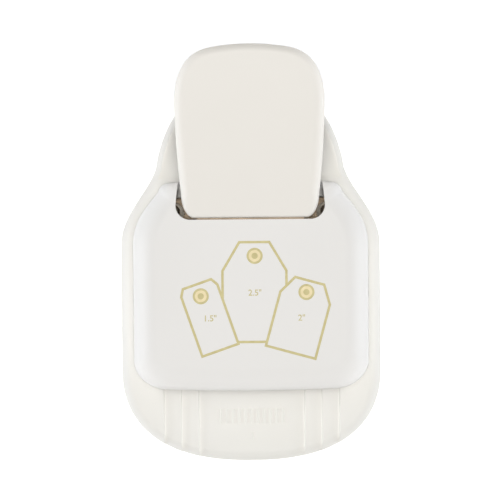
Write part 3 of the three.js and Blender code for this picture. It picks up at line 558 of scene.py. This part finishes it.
def keep_flats(made):
    made.modifiers.new("flat_faces", "WEIGHTED_NORMAL").keep_sharp = True


def shade_softly(made, angle_deg):
    made.data.shade_smooth()
    made.data.set_sharp_from_angle(angle=math.radians(angle_deg))


def soften(made, name, width, segments):
    """Breaks the sharp edges of a finished shape and gives it smooth shading that keeps its flats flat."""
    shape = bmesh.new()
    shape.from_mesh(made.data)
    bmesh.ops.remove_doubles(shape, verts=shape.verts, dist=joined_within * MM)
    bmesh.ops.dissolve_limit(shape, angle_limit=math.radians(flat_deg), verts=shape.verts, edges=shape.edges)
    shape.to_mesh(made.data)
    shape.free()
    break_edges(made, width, segments, sharp_deg)
    settle(made)
    made.name = name
    made.data.name = name
    shade_softly(made, sharp_deg)
    keep_flats(made)
    return settle(made)


def finish_piece(made, body, slot, material, *nodes):
    made.data.materials.clear()
    made.data.materials.append(material)
    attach(made, body)
    if nodes:
        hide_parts(*nodes)
    return made


# Base.
def base_body(outline, top):
    rings = [at_height(inset(outline, foot_edge_radius * side), base_bottom + foot_edge_radius * up)
             for side, up in round_off(fillet_steps // 2)]
    rings += [at_height(inset(outline, rim_radius * side), top - rim_radius * down)
              for down, side in round_off(fillet_steps)]
    return loft("base_body", rings)


def channel_section(half, floor, high):
    """One step of the tray: a rounded foot and a rounded upper edge on each side."""
    foot, edge, turn = tray_foot_radius, tray_edge_radius, round_off(tray_edge_steps)
    right = [(half - foot * side, floor + foot * up) for side, up in turn]
    right += [(half + edge * side, floor + step_rise - edge * down) for down, side in turn]
    return both_halves(right + [(half + edge, high)])


# Places on the right of the middle line; each has its mirror image on the left.
front_housing_seat, rear_housing_seat = (36.2, 37.3), (18, plate_rear + boss_radius)
front_ribs, rear_ribs, rib_end_gap = (-24, -8, 8, 24), (-10, 0, 10), 6


def both_sides(*places):
    return [(side * x, y) for x, y in places for side in (1, -1)]


feet = both_sides((30, 19), (19, base_end - 20))
set_screws = both_sides((36.3, die_front + set_screw[1] + overrun), (36.3, 80.25))
housing_screws = [(place, front_housing_screw) for place in both_sides(front_housing_seat)]
housing_screws += [(place, rear_housing_screw) for place in both_sides(rear_housing_seat)]


def build_base():
    outline = base_outline()
    body = base_body(outline, deck_top)
    below, deep, high = base_bottom - overrun, base_under + fit_gap, deck_top + overrun
    cut(body, plate(inset(outline, foot_edge_radius + base_wall), below, base_under))
    ring = grown(plate_outline(die_front), fit_gap + die_ring_wall)
    join(body, plate(ring, base_bottom, deep))
    # Stiffening ribs under the tray and under the rear.
    ribs = [(x, rib_end_gap, ring[0][1] + overrun) for x in front_ribs]
    ribs += [(x, plate_rear, base_end - rib_end_gap) for x in rear_ribs]
    wells = [(place, foot_radius) for place in feet] + [(place, screw[1]) for place, screw in housing_screws]
    join(body, *[box(x - rib_width / 2, x + rib_width / 2, start, end, base_bottom + rib_foot_gap, deep)
                 for x, start, end in ribs],
         *[upright(x, y, radius + fit_gap + boss_wall, base_bottom, deep) for (x, y), radius in wells])
    for step, half in enumerate(channels):
        floor = floor_top + step * step_rise
        tool = along_y(channel_section(half, floor, high), -overrun, die_front)
        low = box(-half, half, -overrun, die_front, base_bottom + 2 * foot_edge_radius, floor + tray_foot_radius)
        cut(body, cut(join(tool, low), base_body(outline, floor)))
    cut(body, plate(grown(plate_outline(die_front), fit_gap), ledge_top, high))
    cut(body, box(-plate_half + die_ledge, plate_half - die_ledge, die_front + die_ledge, plate_rear - die_ledge,
                  below, high))
    recess = plate(inset(outline, rear_rim_width), deck_top - rear_recess_depth, high)
    cut(body, cut(recess, box(-2 * base_half, 2 * base_half, -overrun, housing_rear + fit_gap, 0, 2 * high)))
    for x, y in feet:
        cut(body, upright(x, y, foot_radius + fit_gap, below, foot_height + fit_gap))
    for (x, y), (shank, head, cap, _) in housing_screws:
        cut(body, upright(x, y, head + fit_gap, below, base_bottom + cap + 2 * fit_gap),
            upright(x, y, shank + fit_gap, below, high))
    for x, y in set_screws:
        cut(body, upright(x, y, set_screw[0] + fit_gap, base_bottom + boss_wall, high))
    return body


finish_piece(soften(build_base(), "base_moulding", moulded_edge / 2, 2), "base", "base_plastic", base_abs,
             "base_shell")


# Housing.
def housing_skin(wall, margin=0):
    """Drafted walls that turn into the top through a wide fillet; wall 0 gives the outside."""
    lower = housing_outline(housing_half - wall, tray_length + wall,
                            (housing_corner[0] - wall, housing_corner[1] - wall), side_end, housing_rear - wall)
    upper = housing_outline(housing_half - housing_side_slope, tray_length + housing_front_slope, top_corner,
                            side_end - housing_rear_slope / 2, housing_rear - housing_rear_slope)
    drafted = housing_draft / (housing_side_slope - wall)
    rings = [at_height(lower, housing_bottom - margin)] if margin else []
    rings.append(at_height(lower, housing_bottom))
    for down, side in round_off(2 * fillet_steps):
        share = drafted + (1 - drafted) * side
        rings.append(at_height(blend_outlines(lower, upper, share),
                               housing_top - wall - (housing_fillet_height - wall) * down))
    return loft("housing_skin", rings)


def notch_outline():
    rear = housing_rear + overrun
    corner = round_corner(notch_half, notch_y, notch_radius, notch_radius)
    side = [(notch_half, notch_y + notch_radius), (notch_half - notch_draft, rear)]
    return mirrored([(0, notch_y)] + corner + side + [(0, rear)])


def mouth_section():
    """The paper mouth's section: square at the deck, rounded at its upper corners."""
    corner = [(mouth_half - mouth_radius * side, mouth_top - mouth_radius * down)
              for down, side in round_off(mouth_steps)]
    return both_halves([(mouth_half, 0)] + corner)


def build_housing():
    low = housing_bottom
    body = cut(housing_skin(0), housing_skin(housing_wall, overrun))
    cut(body, plate(notch_outline(), sill_top, housing_top + overrun), along_y(mouth_section(), -overrun, mouth_rear))
    # Screw bosses, each with a web to the wall beside it, and the shelf behind the notch.
    stays = []
    for x, y in both_sides(front_housing_seat):
        wall_x = math.copysign(housing_half, x)
        stays.append(join(upright(x, y, boss_radius, low, low + boss_height),
                          box(min(x, wall_x), max(x, wall_x), y - fit_gap, y + fit_gap, low, low + boss_height)))
    for x, y in both_sides(rear_housing_seat):
        stays.append(join(upright(x, y, boss_radius, low, low + rear_boss_height),
                          box(x - boss_radius, x + boss_radius, y, y + boss_radius, low, low + rear_boss_height)))
    stays.append(box(-notch_half, notch_half, plate_rear + fit_gap, housing_rear, sill_top - rear_shelf_thickness,
                     sill_top))
    for stay in stays:
        join(body, common(stay, housing_skin(fit_gap)))
    for (x, y), (shank, _, cap, length) in housing_screws:
        cut(body, upright(x, y, shank + fit_gap, 0, base_bottom + cap + length + 2 * fit_gap))
    return body


finish_piece(soften(build_housing(), "housing_moulding", housing_edge, 3), "base", "housing_plastic", housing_abs,
             "top_housing")


# Lever shell.
def lever_skin(wall, below):
    outline = inset(lever_outline(), wall)
    middle = (0, lever_y + lever_length / 2)

    def edge(y):
        """Radius of the upper edge: small at the front, then growing along the corner to the sides' own."""
        radius = along_lever(y, lever_front_corner[1], lever_front_edge_radius, lever_edge_radius)
        return radius * (1 - wall / lever_edge_radius)

    rings = [[(x, y, lever_top(y) - along_lever(y, lever_length, lever_front_skirt, lever_rear_skirt) - below)
              for x, y in outline]]
    for down, side in round_off(fillet_steps):
        ring = inset_by(outline, lambda y: edge(y) * side)
        rings.append([(x, y, lever_top(y) - wall - edge(outer_y) * down)
                      for (x, y), (_, outer_y) in zip(ring, outline)])
    rim = inset_by(outline, edge)
    for share in lever_ring_shares:
        rings.append([(x, y, lever_top(y) - wall) for x, y in blend_outlines(rim, [middle] * len(rim), share)])
    return loft("lever_skin", rings)


def build_lever():
    body = cut(lever_skin(0, 0), lever_skin(lever_wall, overrun))
    cut(body, box(-frame_outer - fit_gap, frame_outer + fit_gap, lever_y - overrun, lever_y + lever_wall + overrun,
                  0, housing_top - lever_wall))
    for y in (lever_y + setback for setback in lever_screw_setbacks):
        under = lever_top(y + lever_boss_radius) - lever_wall - lever_boss_height
        join(body, upright(0, y, lever_boss_radius, under + fit_gap, lever_top(y) - lever_wall / 2))
        cut(body, upright(0, y, lever_screw[0] + fit_gap, 0, under + fit_gap + lever_hole_depth))
    return body


finish_piece(soften(build_lever(), "lever_moulding", moulded_edge, 3), "lever", "lever_plastic", lever_abs,
             "lever_shell")


# Round steel pieces, turned finer than the CAD draws them.
pivot_y, pivot_z, pin_radius = 36.5, 33.0, 2
roller_y, roller_z, roller_radius, roller_half = 69.5, 35.85, 3.5, 16.9
hole_y, punch_radius = 75.15, 2.5
blade_bottom, tool_top = 13.6, 27.75
clip_place, clip_steel, clip_width, groove_radius, groove_play = 21.8, 0.8, 1.6, 1.4, 0.15
pin_half, pin_head = 23.8, 1
oil_groove_places, oil_groove_width, oil_groove_depth = (-12, 12), 0.6, 0.25
tool_hole_depth = 4.5

roller_bar, pivot_bar = partial(rod, roller_y, roller_z), partial(rod, pivot_y, pivot_z)


def tube(bar, outer, inner, left, right):
    """A ring between two radii, on a bar's axis."""
    return cut(bar(outer, left, right), bar(inner, left - overrun, right + overrun))


def build_press_roller():
    body = tube(roller_bar, roller_radius, pin_radius + 2 * fit_gap, -roller_half, roller_half)
    half = oil_groove_width / 2
    return cut(body, *[tube(roller_bar, roller_radius + overrun, roller_radius - oil_groove_depth, x - half, x + half)
                       for x in oil_groove_places])


def build_roller_pin():
    face = frame_outer + fit_gap
    body = roller_bar(pin_radius, -face - pin_head / 2, face + pin_head / 2)
    return join(body, *[roller_bar(pin_radius + pin_head, left, right)
                        for left, right in ((-face - pin_head, -face), (face, face + pin_head))])


def build_pivot_pin():
    body = pivot_bar(pin_radius, -pin_half, pin_half)
    for side in (1, -1):
        a, b = sorted((side * (clip_place - groove_play), side * (clip_place + clip_steel + groove_play)))
        cut(body, tube(pivot_bar, pin_radius + overrun, groove_radius, a, b))
    return body


def build_pivot_clip(side):
    """A spring clip: a ring, open at the bottom, that sits in the pin's groove."""
    a, b = sorted((side * clip_place, side * (clip_place + clip_steel)))
    bore = groove_radius + fit_gap
    return cut(tube(pivot_bar, pin_radius + clip_width, bore, a, b),
               box(a - overrun, b + overrun, pivot_y - bore, pivot_y + bore, pivot_z - 2 * pin_radius - clip_width,
                   pivot_z))


def build_hole_punch():
    body = upright(0, hole_y, punch_radius, blade_bottom, tool_top, rod_sides)
    return cut(body, upright(0, hole_y, blade_screw[0] + fit_gap, tool_top - tool_hole_depth, tool_top + overrun))


turned_pieces = [
    ("ground_roller", build_press_roller(), steel_edge, "roller", "blade_steel", ground_steel, "press_roller"),
    ("riveted_roller_pin", build_roller_pin(), steel_edge, "lever", "zinc_hardware", plated_zinc, "roller_pin"),
    ("grooved_pivot_pin", build_pivot_pin(), steel_edge, "base", "zinc_hardware", plated_zinc, "pivot_pin"),
    ("round_punch", build_hole_punch(), steel_edge / 2, "carrier", "blade_steel", ground_steel, "hole_punch"),
]
turned_pieces += [("spring_clip_" + word, build_pivot_clip(side), steel_edge / 2, "base", "zinc_hardware", plated_zinc,
                   "pivot_clip_" + word) for word, side in (("left", -1), ("right", 1))]
for name, made, edge, *use in turned_pieces:
    finish_piece(soften(made, name, edge, 2), *use)


# Steel that keeps its CAD shape, with its edges broken.
def dress_node(name, material, edge):
    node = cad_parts[name]
    for slot in node.material_slots:
        slot.material = material
    node.modifiers.new("joined_faces", "WELD").merge_threshold = steel_joined_within * MM
    break_edges(node, edge, 2, steel_sharp_deg)
    keep_flats(node)


for name in ("die_plate", "guide_plate", "paper_stop", "pivot_bracket", "lever_frame", "blade_carrier",
             "spacer_left", "spacer_right"):
    dress_node(name, rolled_steel, steel_edge)
for name in ("corner_blade_left", "corner_blade_right"):
    dress_node(name, ground_steel, steel_edge / 2)


# What repeats: screws, posts, springs, feet and ridges, from Geometry Nodes.
socket_kinds = {float: "NodeSocketFloat", int: "NodeSocketInt", Vector: "NodeSocketVector"}


def set_on_points(name, draw, points, sizes, body, slot, material, *nodes):
    """A form on each point (in millimetres of the CAD), as one plain mesh, by a tree with a named input per size."""
    tree = bpy.data.node_groups.new(name, "GeometryNodeTree")
    tree.interface.new_socket("Places", in_out="INPUT", socket_type="NodeSocketGeometry")
    keys = [tree.interface.new_socket(size, in_out="INPUT", socket_type=socket_kinds[type(value)]).identifier
            for size, value in sizes.items()]
    tree.interface.new_socket("Geometry", in_out="OUTPUT", socket_type="NodeSocketGeometry")
    size = put(tree, "NodeGroupInput").outputs
    spread = put(tree, "GeometryNodeInstanceOnPoints", {"Points": size["Places"], **draw(tree, size)})
    real = put(tree, "GeometryNodeRealizeInstances", {"Geometry": spread})
    coated = put(tree, "GeometryNodeSetMaterial", {"Geometry": real, "Material": material})
    put(tree, "NodeGroupOutput", {0: coated})
    mesh = bpy.data.meshes.new(name)
    mesh.from_pydata([to_frame(p) for p in points], [], [])
    made = add_object(name, mesh)
    growth = made.modifiers.new("form", "NODES")
    growth.node_group = tree
    for key, value in zip(keys, sizes.values()):
        growth[key] = value
    settle(made)
    shade_softly(made, form_sharp_deg)
    return finish_piece(made, body, slot, material, *nodes)


def draw_screw(threaded, tree, size):
    """A pan-head screw with a cross recess, whose seat is at the point; Tip Angle turns it over about X."""
    rim, shank = [
        put(tree, "GeometryNodeMeshCylinder", {"Vertices": sides, "Radius": size[radius], "Depth": size[depth]})
        for sides, radius, depth in (
            (head_sides, "Rim Radius", "Rim Height"), (shank_sides, "Shank Radius", "Shank Length"))]
    crown = put(tree, "GeometryNodeMeshCone", {
        "Vertices": head_sides, "Radius Top": size["Crown Radius"], "Radius Bottom": size["Rim Radius"],
        "Depth": size["Crown Height"]})
    bars = [put(tree, "GeometryNodeMeshCube", {"Size": size[extent]}) for extent in ("Long Slot", "Cross Slot")]
    placed = [put(tree, "GeometryNodeTransform", {"Geometry": part, "Translation": size[place]}) for part, place in
              ((rim, "Rim Middle"), (crown, "Crown Foot"), (shank, "Shank Middle"), (bars[0], "Slot Middle"),
               (bars[1], "Slot Middle"))]
    whole = put(tree, "GeometryNodeMeshBoolean", {"Mesh 2": placed[:3]}, operation="UNION", solver="MANIFOLD")
    form = put(tree, "GeometryNodeMeshBoolean", {"Mesh 1": whole, "Mesh 2": placed[3:]}, operation="DIFFERENCE",
               solver="MANIFOLD")
    if threaded:
        helix = put(tree, "GeometryNodeCurveSpiral", {
            "Resolution": thread_steps, "Rotations": size["Thread Turns"], "Start Radius": size["Shank Radius"],
            "End Radius": size["Shank Radius"], "Height": size["Thread Height"]})
        flank = put(tree, "GeometryNodeCurvePrimitiveCircle", {
            "Resolution": thread_sides, "Radius": size["Thread Depth"]})
        thread = put(tree, "GeometryNodeCurveToMesh", {"Curve": helix, "Profile Curve": flank, "Fill Caps": True})
        hung = put(tree, "GeometryNodeTransform", {"Geometry": thread, "Translation": size["Thread Foot"]})
        form = put(tree, "GeometryNodeJoinGeometry", {0: [form, hung]})
    turn = put(tree, "FunctionNodeRandomValue", {"Max": 2 * math.pi, "Seed": size["Turn Seed"]})
    angles = put(tree, "ShaderNodeCombineXYZ", {"X": size["Tip Angle"], "Z": turn.outputs["Value"]})
    return {"Instance": form, "Rotation": angles}


thread_pitch = 0.9
thread_depth = 0.18
thread_share = 0.92
rim_share = 0.55
crown_share = 0.74
slot_long_share = 1.15
slot_wide_share = 0.26
shank_sunk = 0.2


def upwards(height):
    return Vector((0, 0, height * MM))


def screw_sizes(screw, head_down, seed):
    shank, head, cap, length = screw
    rim = rim_share * cap
    slot_long, slot_wide = slot_long_share * head, slot_wide_share * head
    return {"Rim Radius": head * MM, "Rim Height": rim * MM, "Rim Middle": upwards(rim / 2),
            "Crown Radius": crown_share * head * MM, "Crown Height": (cap - rim) * MM, "Crown Foot": upwards(rim),
            "Shank Radius": shank * MM, "Shank Length": (length + shank_sunk) * MM,
            "Shank Middle": upwards((shank_sunk - length) / 2),
            "Long Slot": Vector((slot_long, slot_wide, cap)) * MM,
            "Cross Slot": Vector((slot_wide, slot_long, cap)) * MM, "Slot Middle": upwards(cap),
            "Thread Turns": thread_share * length / thread_pitch, "Thread Height": thread_share * length * MM,
            "Thread Depth": thread_depth * MM, "Thread Foot": upwards(-length),
            "Tip Angle": math.pi if head_down else 0.0, "Turn Seed": seed}


def seats(nodes, cap, head_down=False):
    """Where each CAD screw's head sits, from its box."""
    places = []
    for node in nodes:
        low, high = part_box(node)
        z = low[2] / MM + cap if head_down else high[2] / MM - cap
        places.append(((low[0] + high[0]) / 2 / MM, (low[1] + high[1]) / 2 / MM + row_shift, z))
    return places


sides = ("left", "right")
corners = ("front_left", "front_right", "rear_left", "rear_right")
screw_sets = [
    ("die_set_screws", "base", [f"set_screw_{s}_{i}" for s in sides for i in (1, 2)], set_screw, False, 3),
    ("bracket_screws", "base", [f"bracket_screw_{s}" for s in sides], bracket_screw, False, 5),
    ("front_housing_screws", "base", [f"housing_screw_front_{s}" for s in sides], front_housing_screw, True, 7),
    ("rear_housing_screws", "base", [f"housing_screw_rear_{s}" for s in sides], rear_housing_screw, True, 11),
    ("lever_screws", "lever", ["lever_screw_1", "lever_screw_2"], lever_screw, True, 13),
    ("blade_screws", "carrier", [f"blade_screw_{s}_{i}" for s in sides for i in (1, 2)] + ["punch_screw"],
     blade_screw, False, 17),
    ("shoulder_posts", "base", [f"guide_post_{c}" for c in corners], guide_post, False, 19),
]
# The guide posts take the steel coloured dark as painted shade for the notch; the screws take zinc.
for name, body, nodes, screw, head_down, seed in screw_sets:
    threaded = screw is not guide_post
    set_on_points(name, partial(draw_screw, threaded), seats(nodes, screw[2], head_down),
                  screw_sizes(screw, head_down, seed), body, "zinc_hardware",
                  plated_zinc if threaded else shade_dark_post_steel, *nodes)

# Return springs: cone-shaped, wide at the foot and narrow under the carrier's ears.
spring_low, spring_high = 17.85, 27.75
spring_wire = 0.5
spring_foot_radius, spring_head_radius = 3.45, 1.85
spring_turns = 5
spring_x, spring_rows = 27.6, (50.15, 91.65)
closed_wire_share = 1.05


def draw_spring(tree, size):
    """A cone-shaped spring whose first and last turns lie closed, wire on wire."""
    helix = put(tree, "GeometryNodeCurveSpiral", {
        "Resolution": coil_steps, "Rotations": size["Coil Turns"], "Start Radius": size["Foot Radius"],
        "End Radius": size["Head Radius"], "Height": 0.0})
    along = put(tree, "GeometryNodeSplineParameter").outputs["Factor"]
    # How high the wire rises over the first turn, over the open turns and over the last one.
    foot, middle, head = [
        put(tree, "ShaderNodeMapRange", {
            "Value": along, "From Min": start, "From Max": end, "To Min": low, "To Max": high})
        for start, end, low, high in (
            (0.0, size["First Turn End"], size["Wire Radius"], size["First Turn Top"]),
            (size["First Turn End"], size["Last Turn Start"], 0.0, size["Open Rise"]),
            (size["Last Turn Start"], 1.0, 0.0, size["Closed Rise"]))]
    lower = put(tree, "ShaderNodeMath", {0: foot, 1: middle}, operation="ADD")
    height = put(tree, "ShaderNodeMath", {0: lower, 1: head}, operation="ADD")
    shift = put(tree, "ShaderNodeCombineXYZ", {"Z": height})
    wound = put(tree, "GeometryNodeSetPosition", {"Geometry": helix, "Offset": shift})
    section = put(tree, "GeometryNodeCurvePrimitiveCircle", {"Resolution": wire_sides, "Radius": size["Wire Radius"]})
    coil = put(tree, "GeometryNodeCurveToMesh", {"Curve": wound, "Profile Curve": section, "Fill Caps": True})
    return {"Instance": coil}


spring_height = spring_high - spring_low
closed_rise = closed_wire_share * spring_wire
springs = set_on_points(
    "return_springs", draw_spring, [(s * spring_x, y, spring_low) for y in spring_rows for s in (-1, 1)],
    {"Wire Radius": spring_wire / 2 * MM, "Foot Radius": spring_foot_radius * MM,
     "Head Radius": spring_head_radius * MM, "Coil Turns": float(spring_turns), "First Turn End": 1 / spring_turns,
     "Last Turn Start": 1 - 1 / spring_turns, "First Turn Top": (spring_wire / 2 + closed_rise) * MM,
     "Open Rise": (spring_height - spring_wire - 2 * closed_rise) * MM, "Closed Rise": closed_rise * MM},
    "base", "spring_steel", drawn_wire, *[f"return_spring_{c}" for c in corners])
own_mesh(springs)

# Rubber feet.
foot_chamfer = 0.3
foot_groove_depth = 0.5
foot_groove_shares = (0.72, 0.56)
foot_dimple_share = 0.3


def draw_foot(tree, size):
    """A round foot with a chamfered sole, a groove round it and a dimple in the middle."""
    upper, groove, core, dimple = [
        put(tree, "GeometryNodeMeshCylinder", {"Vertices": sides, "Radius": size[radius], "Depth": size[depth]})
        for sides, radius, depth in (
            (rod_sides, "Radius", "Upper Height"), (rod_sides, "Groove Outer Radius", "Groove Span"),
            (rod_sides, "Groove Inner Radius", "Core Span"), (round_sides, "Dimple Radius", "Groove Span"))]
    raised = put(tree, "GeometryNodeTransform", {"Geometry": upper, "Translation": size["Upper Middle"]})
    sole = put(tree, "GeometryNodeMeshCone", {
        "Vertices": rod_sides, "Radius Bottom": size["Sole Radius"], "Radius Top": size["Radius"],
        "Depth": size["Chamfer"]})
    whole = put(tree, "GeometryNodeMeshBoolean", {"Mesh 2": [raised, sole]}, operation="UNION", solver="EXACT")
    ring = put(tree, "GeometryNodeMeshBoolean", {"Mesh 1": groove, "Mesh 2": core}, operation="DIFFERENCE",
               solver="EXACT")
    hollows = put(tree, "GeometryNodeJoinGeometry", {0: [ring, dimple]})
    foot = put(tree, "GeometryNodeMeshBoolean", {"Mesh 1": whole, "Mesh 2": hollows}, operation="DIFFERENCE",
               solver="EXACT")
    return {"Instance": foot}


set_on_points("foot_pads", draw_foot, [(x, y, 0) for x, y in feet], {
    "Radius": foot_radius * MM, "Sole Radius": (foot_radius - foot_chamfer) * MM, "Chamfer": foot_chamfer * MM,
    "Upper Height": (foot_height - foot_chamfer) * MM, "Upper Middle": upwards((foot_height + foot_chamfer) / 2),
    "Groove Outer Radius": foot_groove_shares[0] * foot_radius * MM,
    "Groove Inner Radius": foot_groove_shares[1] * foot_radius * MM,
    "Groove Span": 2 * foot_groove_depth * MM, "Core Span": 3 * foot_groove_depth * MM,
    "Dimple Radius": foot_dimple_share * foot_radius * MM},
    "base", "foot_rubber", foot_rubber, *[f"rubber_foot_{c}" for c in corners])


def draw_ridge(tree, size):
    """A low bar with a round back along the punch, half sunk where it stands."""
    bar = put(tree, "GeometryNodeMeshCylinder", {"Vertices": ridge_sides, "Radius": 1.0, "Depth": 1.0})
    sized = put(tree, "GeometryNodeTransform", {"Geometry": bar, "Scale": size["Bar Size"]})
    return {"Instance": put(tree, "GeometryNodeTransform", {"Geometry": sized, "Rotation": (math.pi / 2, 0, 0)})}


# Moulded marks on the tray's floor: a row of plain ridges, and a short bar near the front. A mark's form is its
# half width, height and length.
ridge_count, ridge_pitch, ridge_y, ridge = 11, 2.3, tray_length - 9.5, (0.5, 0.3, 5.4)
bar_x, bar_y, short_bar = 0.3, tray_length - 16.9, (0.25, 0.2, 2.9)
ridge_places = [((i - (ridge_count - 1) / 2) * ridge_pitch, ridge_y, floor_top) for i in range(ridge_count)]
for name, places, mark in (("tray_ridges", ridge_places, ridge),
                           ("middle_mark", [(bar_x, bar_y, floor_top)], short_bar)):
    set_on_points(name, draw_ridge, places, {"Bar Size": Vector(mark) * MM}, "base", "base_plastic", base_abs)


# Size chart on the housing's top: the three tags that the punch shapes, in gold foil. Its places are measured
# from the middle line and from the housing's front edge.
foil_thickness = 0.03
foil_line = 0.88
foil_step = 0.012
tag_top_width = 10.5
tag_shoulder_share = 1.69
run_steps = 120


def tag_outline(x, setback, width, side_length, turn_deg):
    """A tag: a strip whose two upper corners are cut off, turned about the middle of its lower edge."""
    half, top = width / 2, tag_top_width / 2
    cut_length = (half - top) * tag_shoulder_share
    local = [(-half, 0), (half, 0), (half, side_length), (top, side_length + cut_length),
             (-top, side_length + cut_length), (-half, side_length)]
    turn = Matrix.Rotation(math.radians(turn_deg), 2)
    return [tuple(turn @ Vector(corner) + Vector((x, tray_length + setback))) for corner in local]


def foil(name, flats, height, material):
    """Closed flat quads and polygons of foil, given as lists of (x, y), with a little thickness."""
    points, faces = [], []
    for outline in flats:
        faces += skin(len(outline), start=len(points))
        points += at_height(outline, height - foil_thickness) + at_height(outline, height + foil_thickness)
    finish_piece(solid(name, points, faces), "base", "housing_plastic", material)


def inside(point, polygon):
    x, y = point
    hit = False
    for i, (ax, ay) in enumerate(polygon):
        bx, by = polygon[i - 1]
        if (ay > y) != (by > y) and x < (bx - ax) * (y - ay) / (by - ay) + ax:
            hit = not hit
    return hit


def strips(outline, hidden_by=()):
    """Quads of line width along a closed outline, left out where another tag covers them."""
    outer, inner = grown(outline, foil_line / 2), grown(outline, -foil_line / 2)
    quads = []
    for i in range(len(outline)):
        j = (i + 1) % len(outline)
        steps = run_steps if hidden_by else 1
        start = None
        for share in (k / steps for k in range(steps + 1)):
            on_line = Vector(outline[i]).lerp(Vector(outline[j]), share)
            shown = not any(inside(on_line, p) for p in hidden_by)
            if shown and start is None:
                start = share
            if start is not None and (not shown or share == 1):
                if share > start:
                    quads.append([tuple(Vector(edge[i]).lerp(Vector(edge[j]), at)) for edge, at in
                                  ((outer, start), (outer, share), (inner, share), (inner, start))])
                start = None
    return quads


small_tag = tag_outline(-10.85, 16.6, 13.4, 22.06, 19.1)
middle_tag = tag_outline(13.75, 15.7, 17.9, 19.6, -15.4)
large_tag = tag_outline(1.28, 19.4, 22.4, 24.9, 0)
foil("outer_tag_lines", strips(small_tag) + strips(middle_tag), housing_top, gold_foil)
foil("large_tag_lines", strips(large_tag, (small_tag, middle_tag)), housing_top - foil_step, gold_foil)

eyelets = [(-17.57, 35.53), (1.4, 49.53), (19.43, 36.72)]
eyelet_outer, eyelet_ring, eyelet_dot = 2.82, 0.75, 1.1
rings, fills, dots = [], [], []
for x, setback in eyelets:
    y = tray_length + setback
    outer, inner, dot = [disc(x, y, radius) for radius in (eyelet_outer, eyelet_outer - eyelet_ring, eyelet_dot)]
    for i in range(round_sides):
        j = (i + 1) % round_sides
        rings.append([outer[i], outer[j], inner[j], inner[i]])
        fills.append([inner[i], inner[j], dot[j], dot[i]])
    dots.append(dot)
foil("eyelet_rings", rings + dots, housing_top, gold_foil)
foil("eyelet_fills", fills, housing_top, pale_foil)

number_height = 2.1
digit_share = 0.7
digit_swell = 0.03
chart_numbers = [("number_1_5", '1.5"', -14.39, 27.65), ("number_2_5", '2.5"', 1.4, 36.54),
                 ("number_2", '2"', 17.71, 27.65)]
for name, words, x, setback in chart_numbers:
    curve = adjust(bpy.data.curves.new(name, "FONT"), body=words, size=number_height / digit_share * MM,
                   align_x="CENTER", align_y="CENTER", extrude=foil_thickness * MM, offset=digit_swell * MM)
    written = add_object(name, curve)
    mesh = evaluated_mesh(written)
    bpy.data.objects.remove(written)
    mesh.transform(Matrix.Translation(to_frame((x, tray_length + setback, housing_top))))
    finish_piece(add_object(name, mesh), "base", "housing_plastic", gold_foil)


# Floor and light. The lights are disks: place and aim in metres, size, power in watts, colour.
floor_half_m, floor_roughness, floor_glow, sky_strength = 3.0, 0.9, 0.4, 0.12
softboxes = [
    ("overhead_softbox", (0, 0, 1.4), (0, 0, 0.02), 0.35, 11.5, "#FFFEFC"),
    ("left_softbox", (-1.0, 0, 0.2), (0, 0, 0.03), 0.35, 3.6, "#F0F6FF"),
    ("right_softbox", (1.0, 0, 0.2), (0, 0, 0.03), 0.35, 3.3, "#F0F6FF"),
    ("front_softbox", (0, -1.0, 0.35), (0, 0, 0.03), 0.5, 1.9, "#FFFFFF"),
]

mesh = bpy.data.meshes.new("studio_floor")
half = floor_half_m
mesh.from_pydata([(-half, -half, 0), (half, -half, 0), (half, half, 0), (-half, half, 0)], [], [(0, 1, 2, 3)])
material, tree = start_material("white_studio_paper")
paper = put(tree, "ShaderNodeBsdfPrincipled", {
    "Base Color": linear("#F4F4F4"), "Roughness": floor_roughness, "Emission Color": linear("#FFFFFF"),
    "Emission Strength": floor_glow})
put(tree, "ShaderNodeOutputMaterial", {"Surface": paper})
mesh.materials.append(material)
floor = add_object("studio_floor", mesh)

world = bpy.data.worlds.new("white_studio")
bpy.context.scene.world = world
world.use_nodes = True
world.node_tree.nodes.clear()
sky = put(world.node_tree, "ShaderNodeBackground", {"Color": linear("#FFFFFF"), "Strength": sky_strength})
put(world.node_tree, "ShaderNodeOutputWorld", {"Surface": sky})
for name, place, aim, size, power, colour in softboxes:
    data = adjust(bpy.data.lights.new(name, "AREA"), shape="DISK", size=size, energy=power, color=linear(colour)[:3])
    turn = (Vector(aim) - Vector(place)).to_track_quat("-Z", "Y").to_euler()
    adjust(add_object(name, data), location=place, rotation_euler=turn)
adjust(bpy.context.scene.view_settings, view_transform="Standard", look="None")
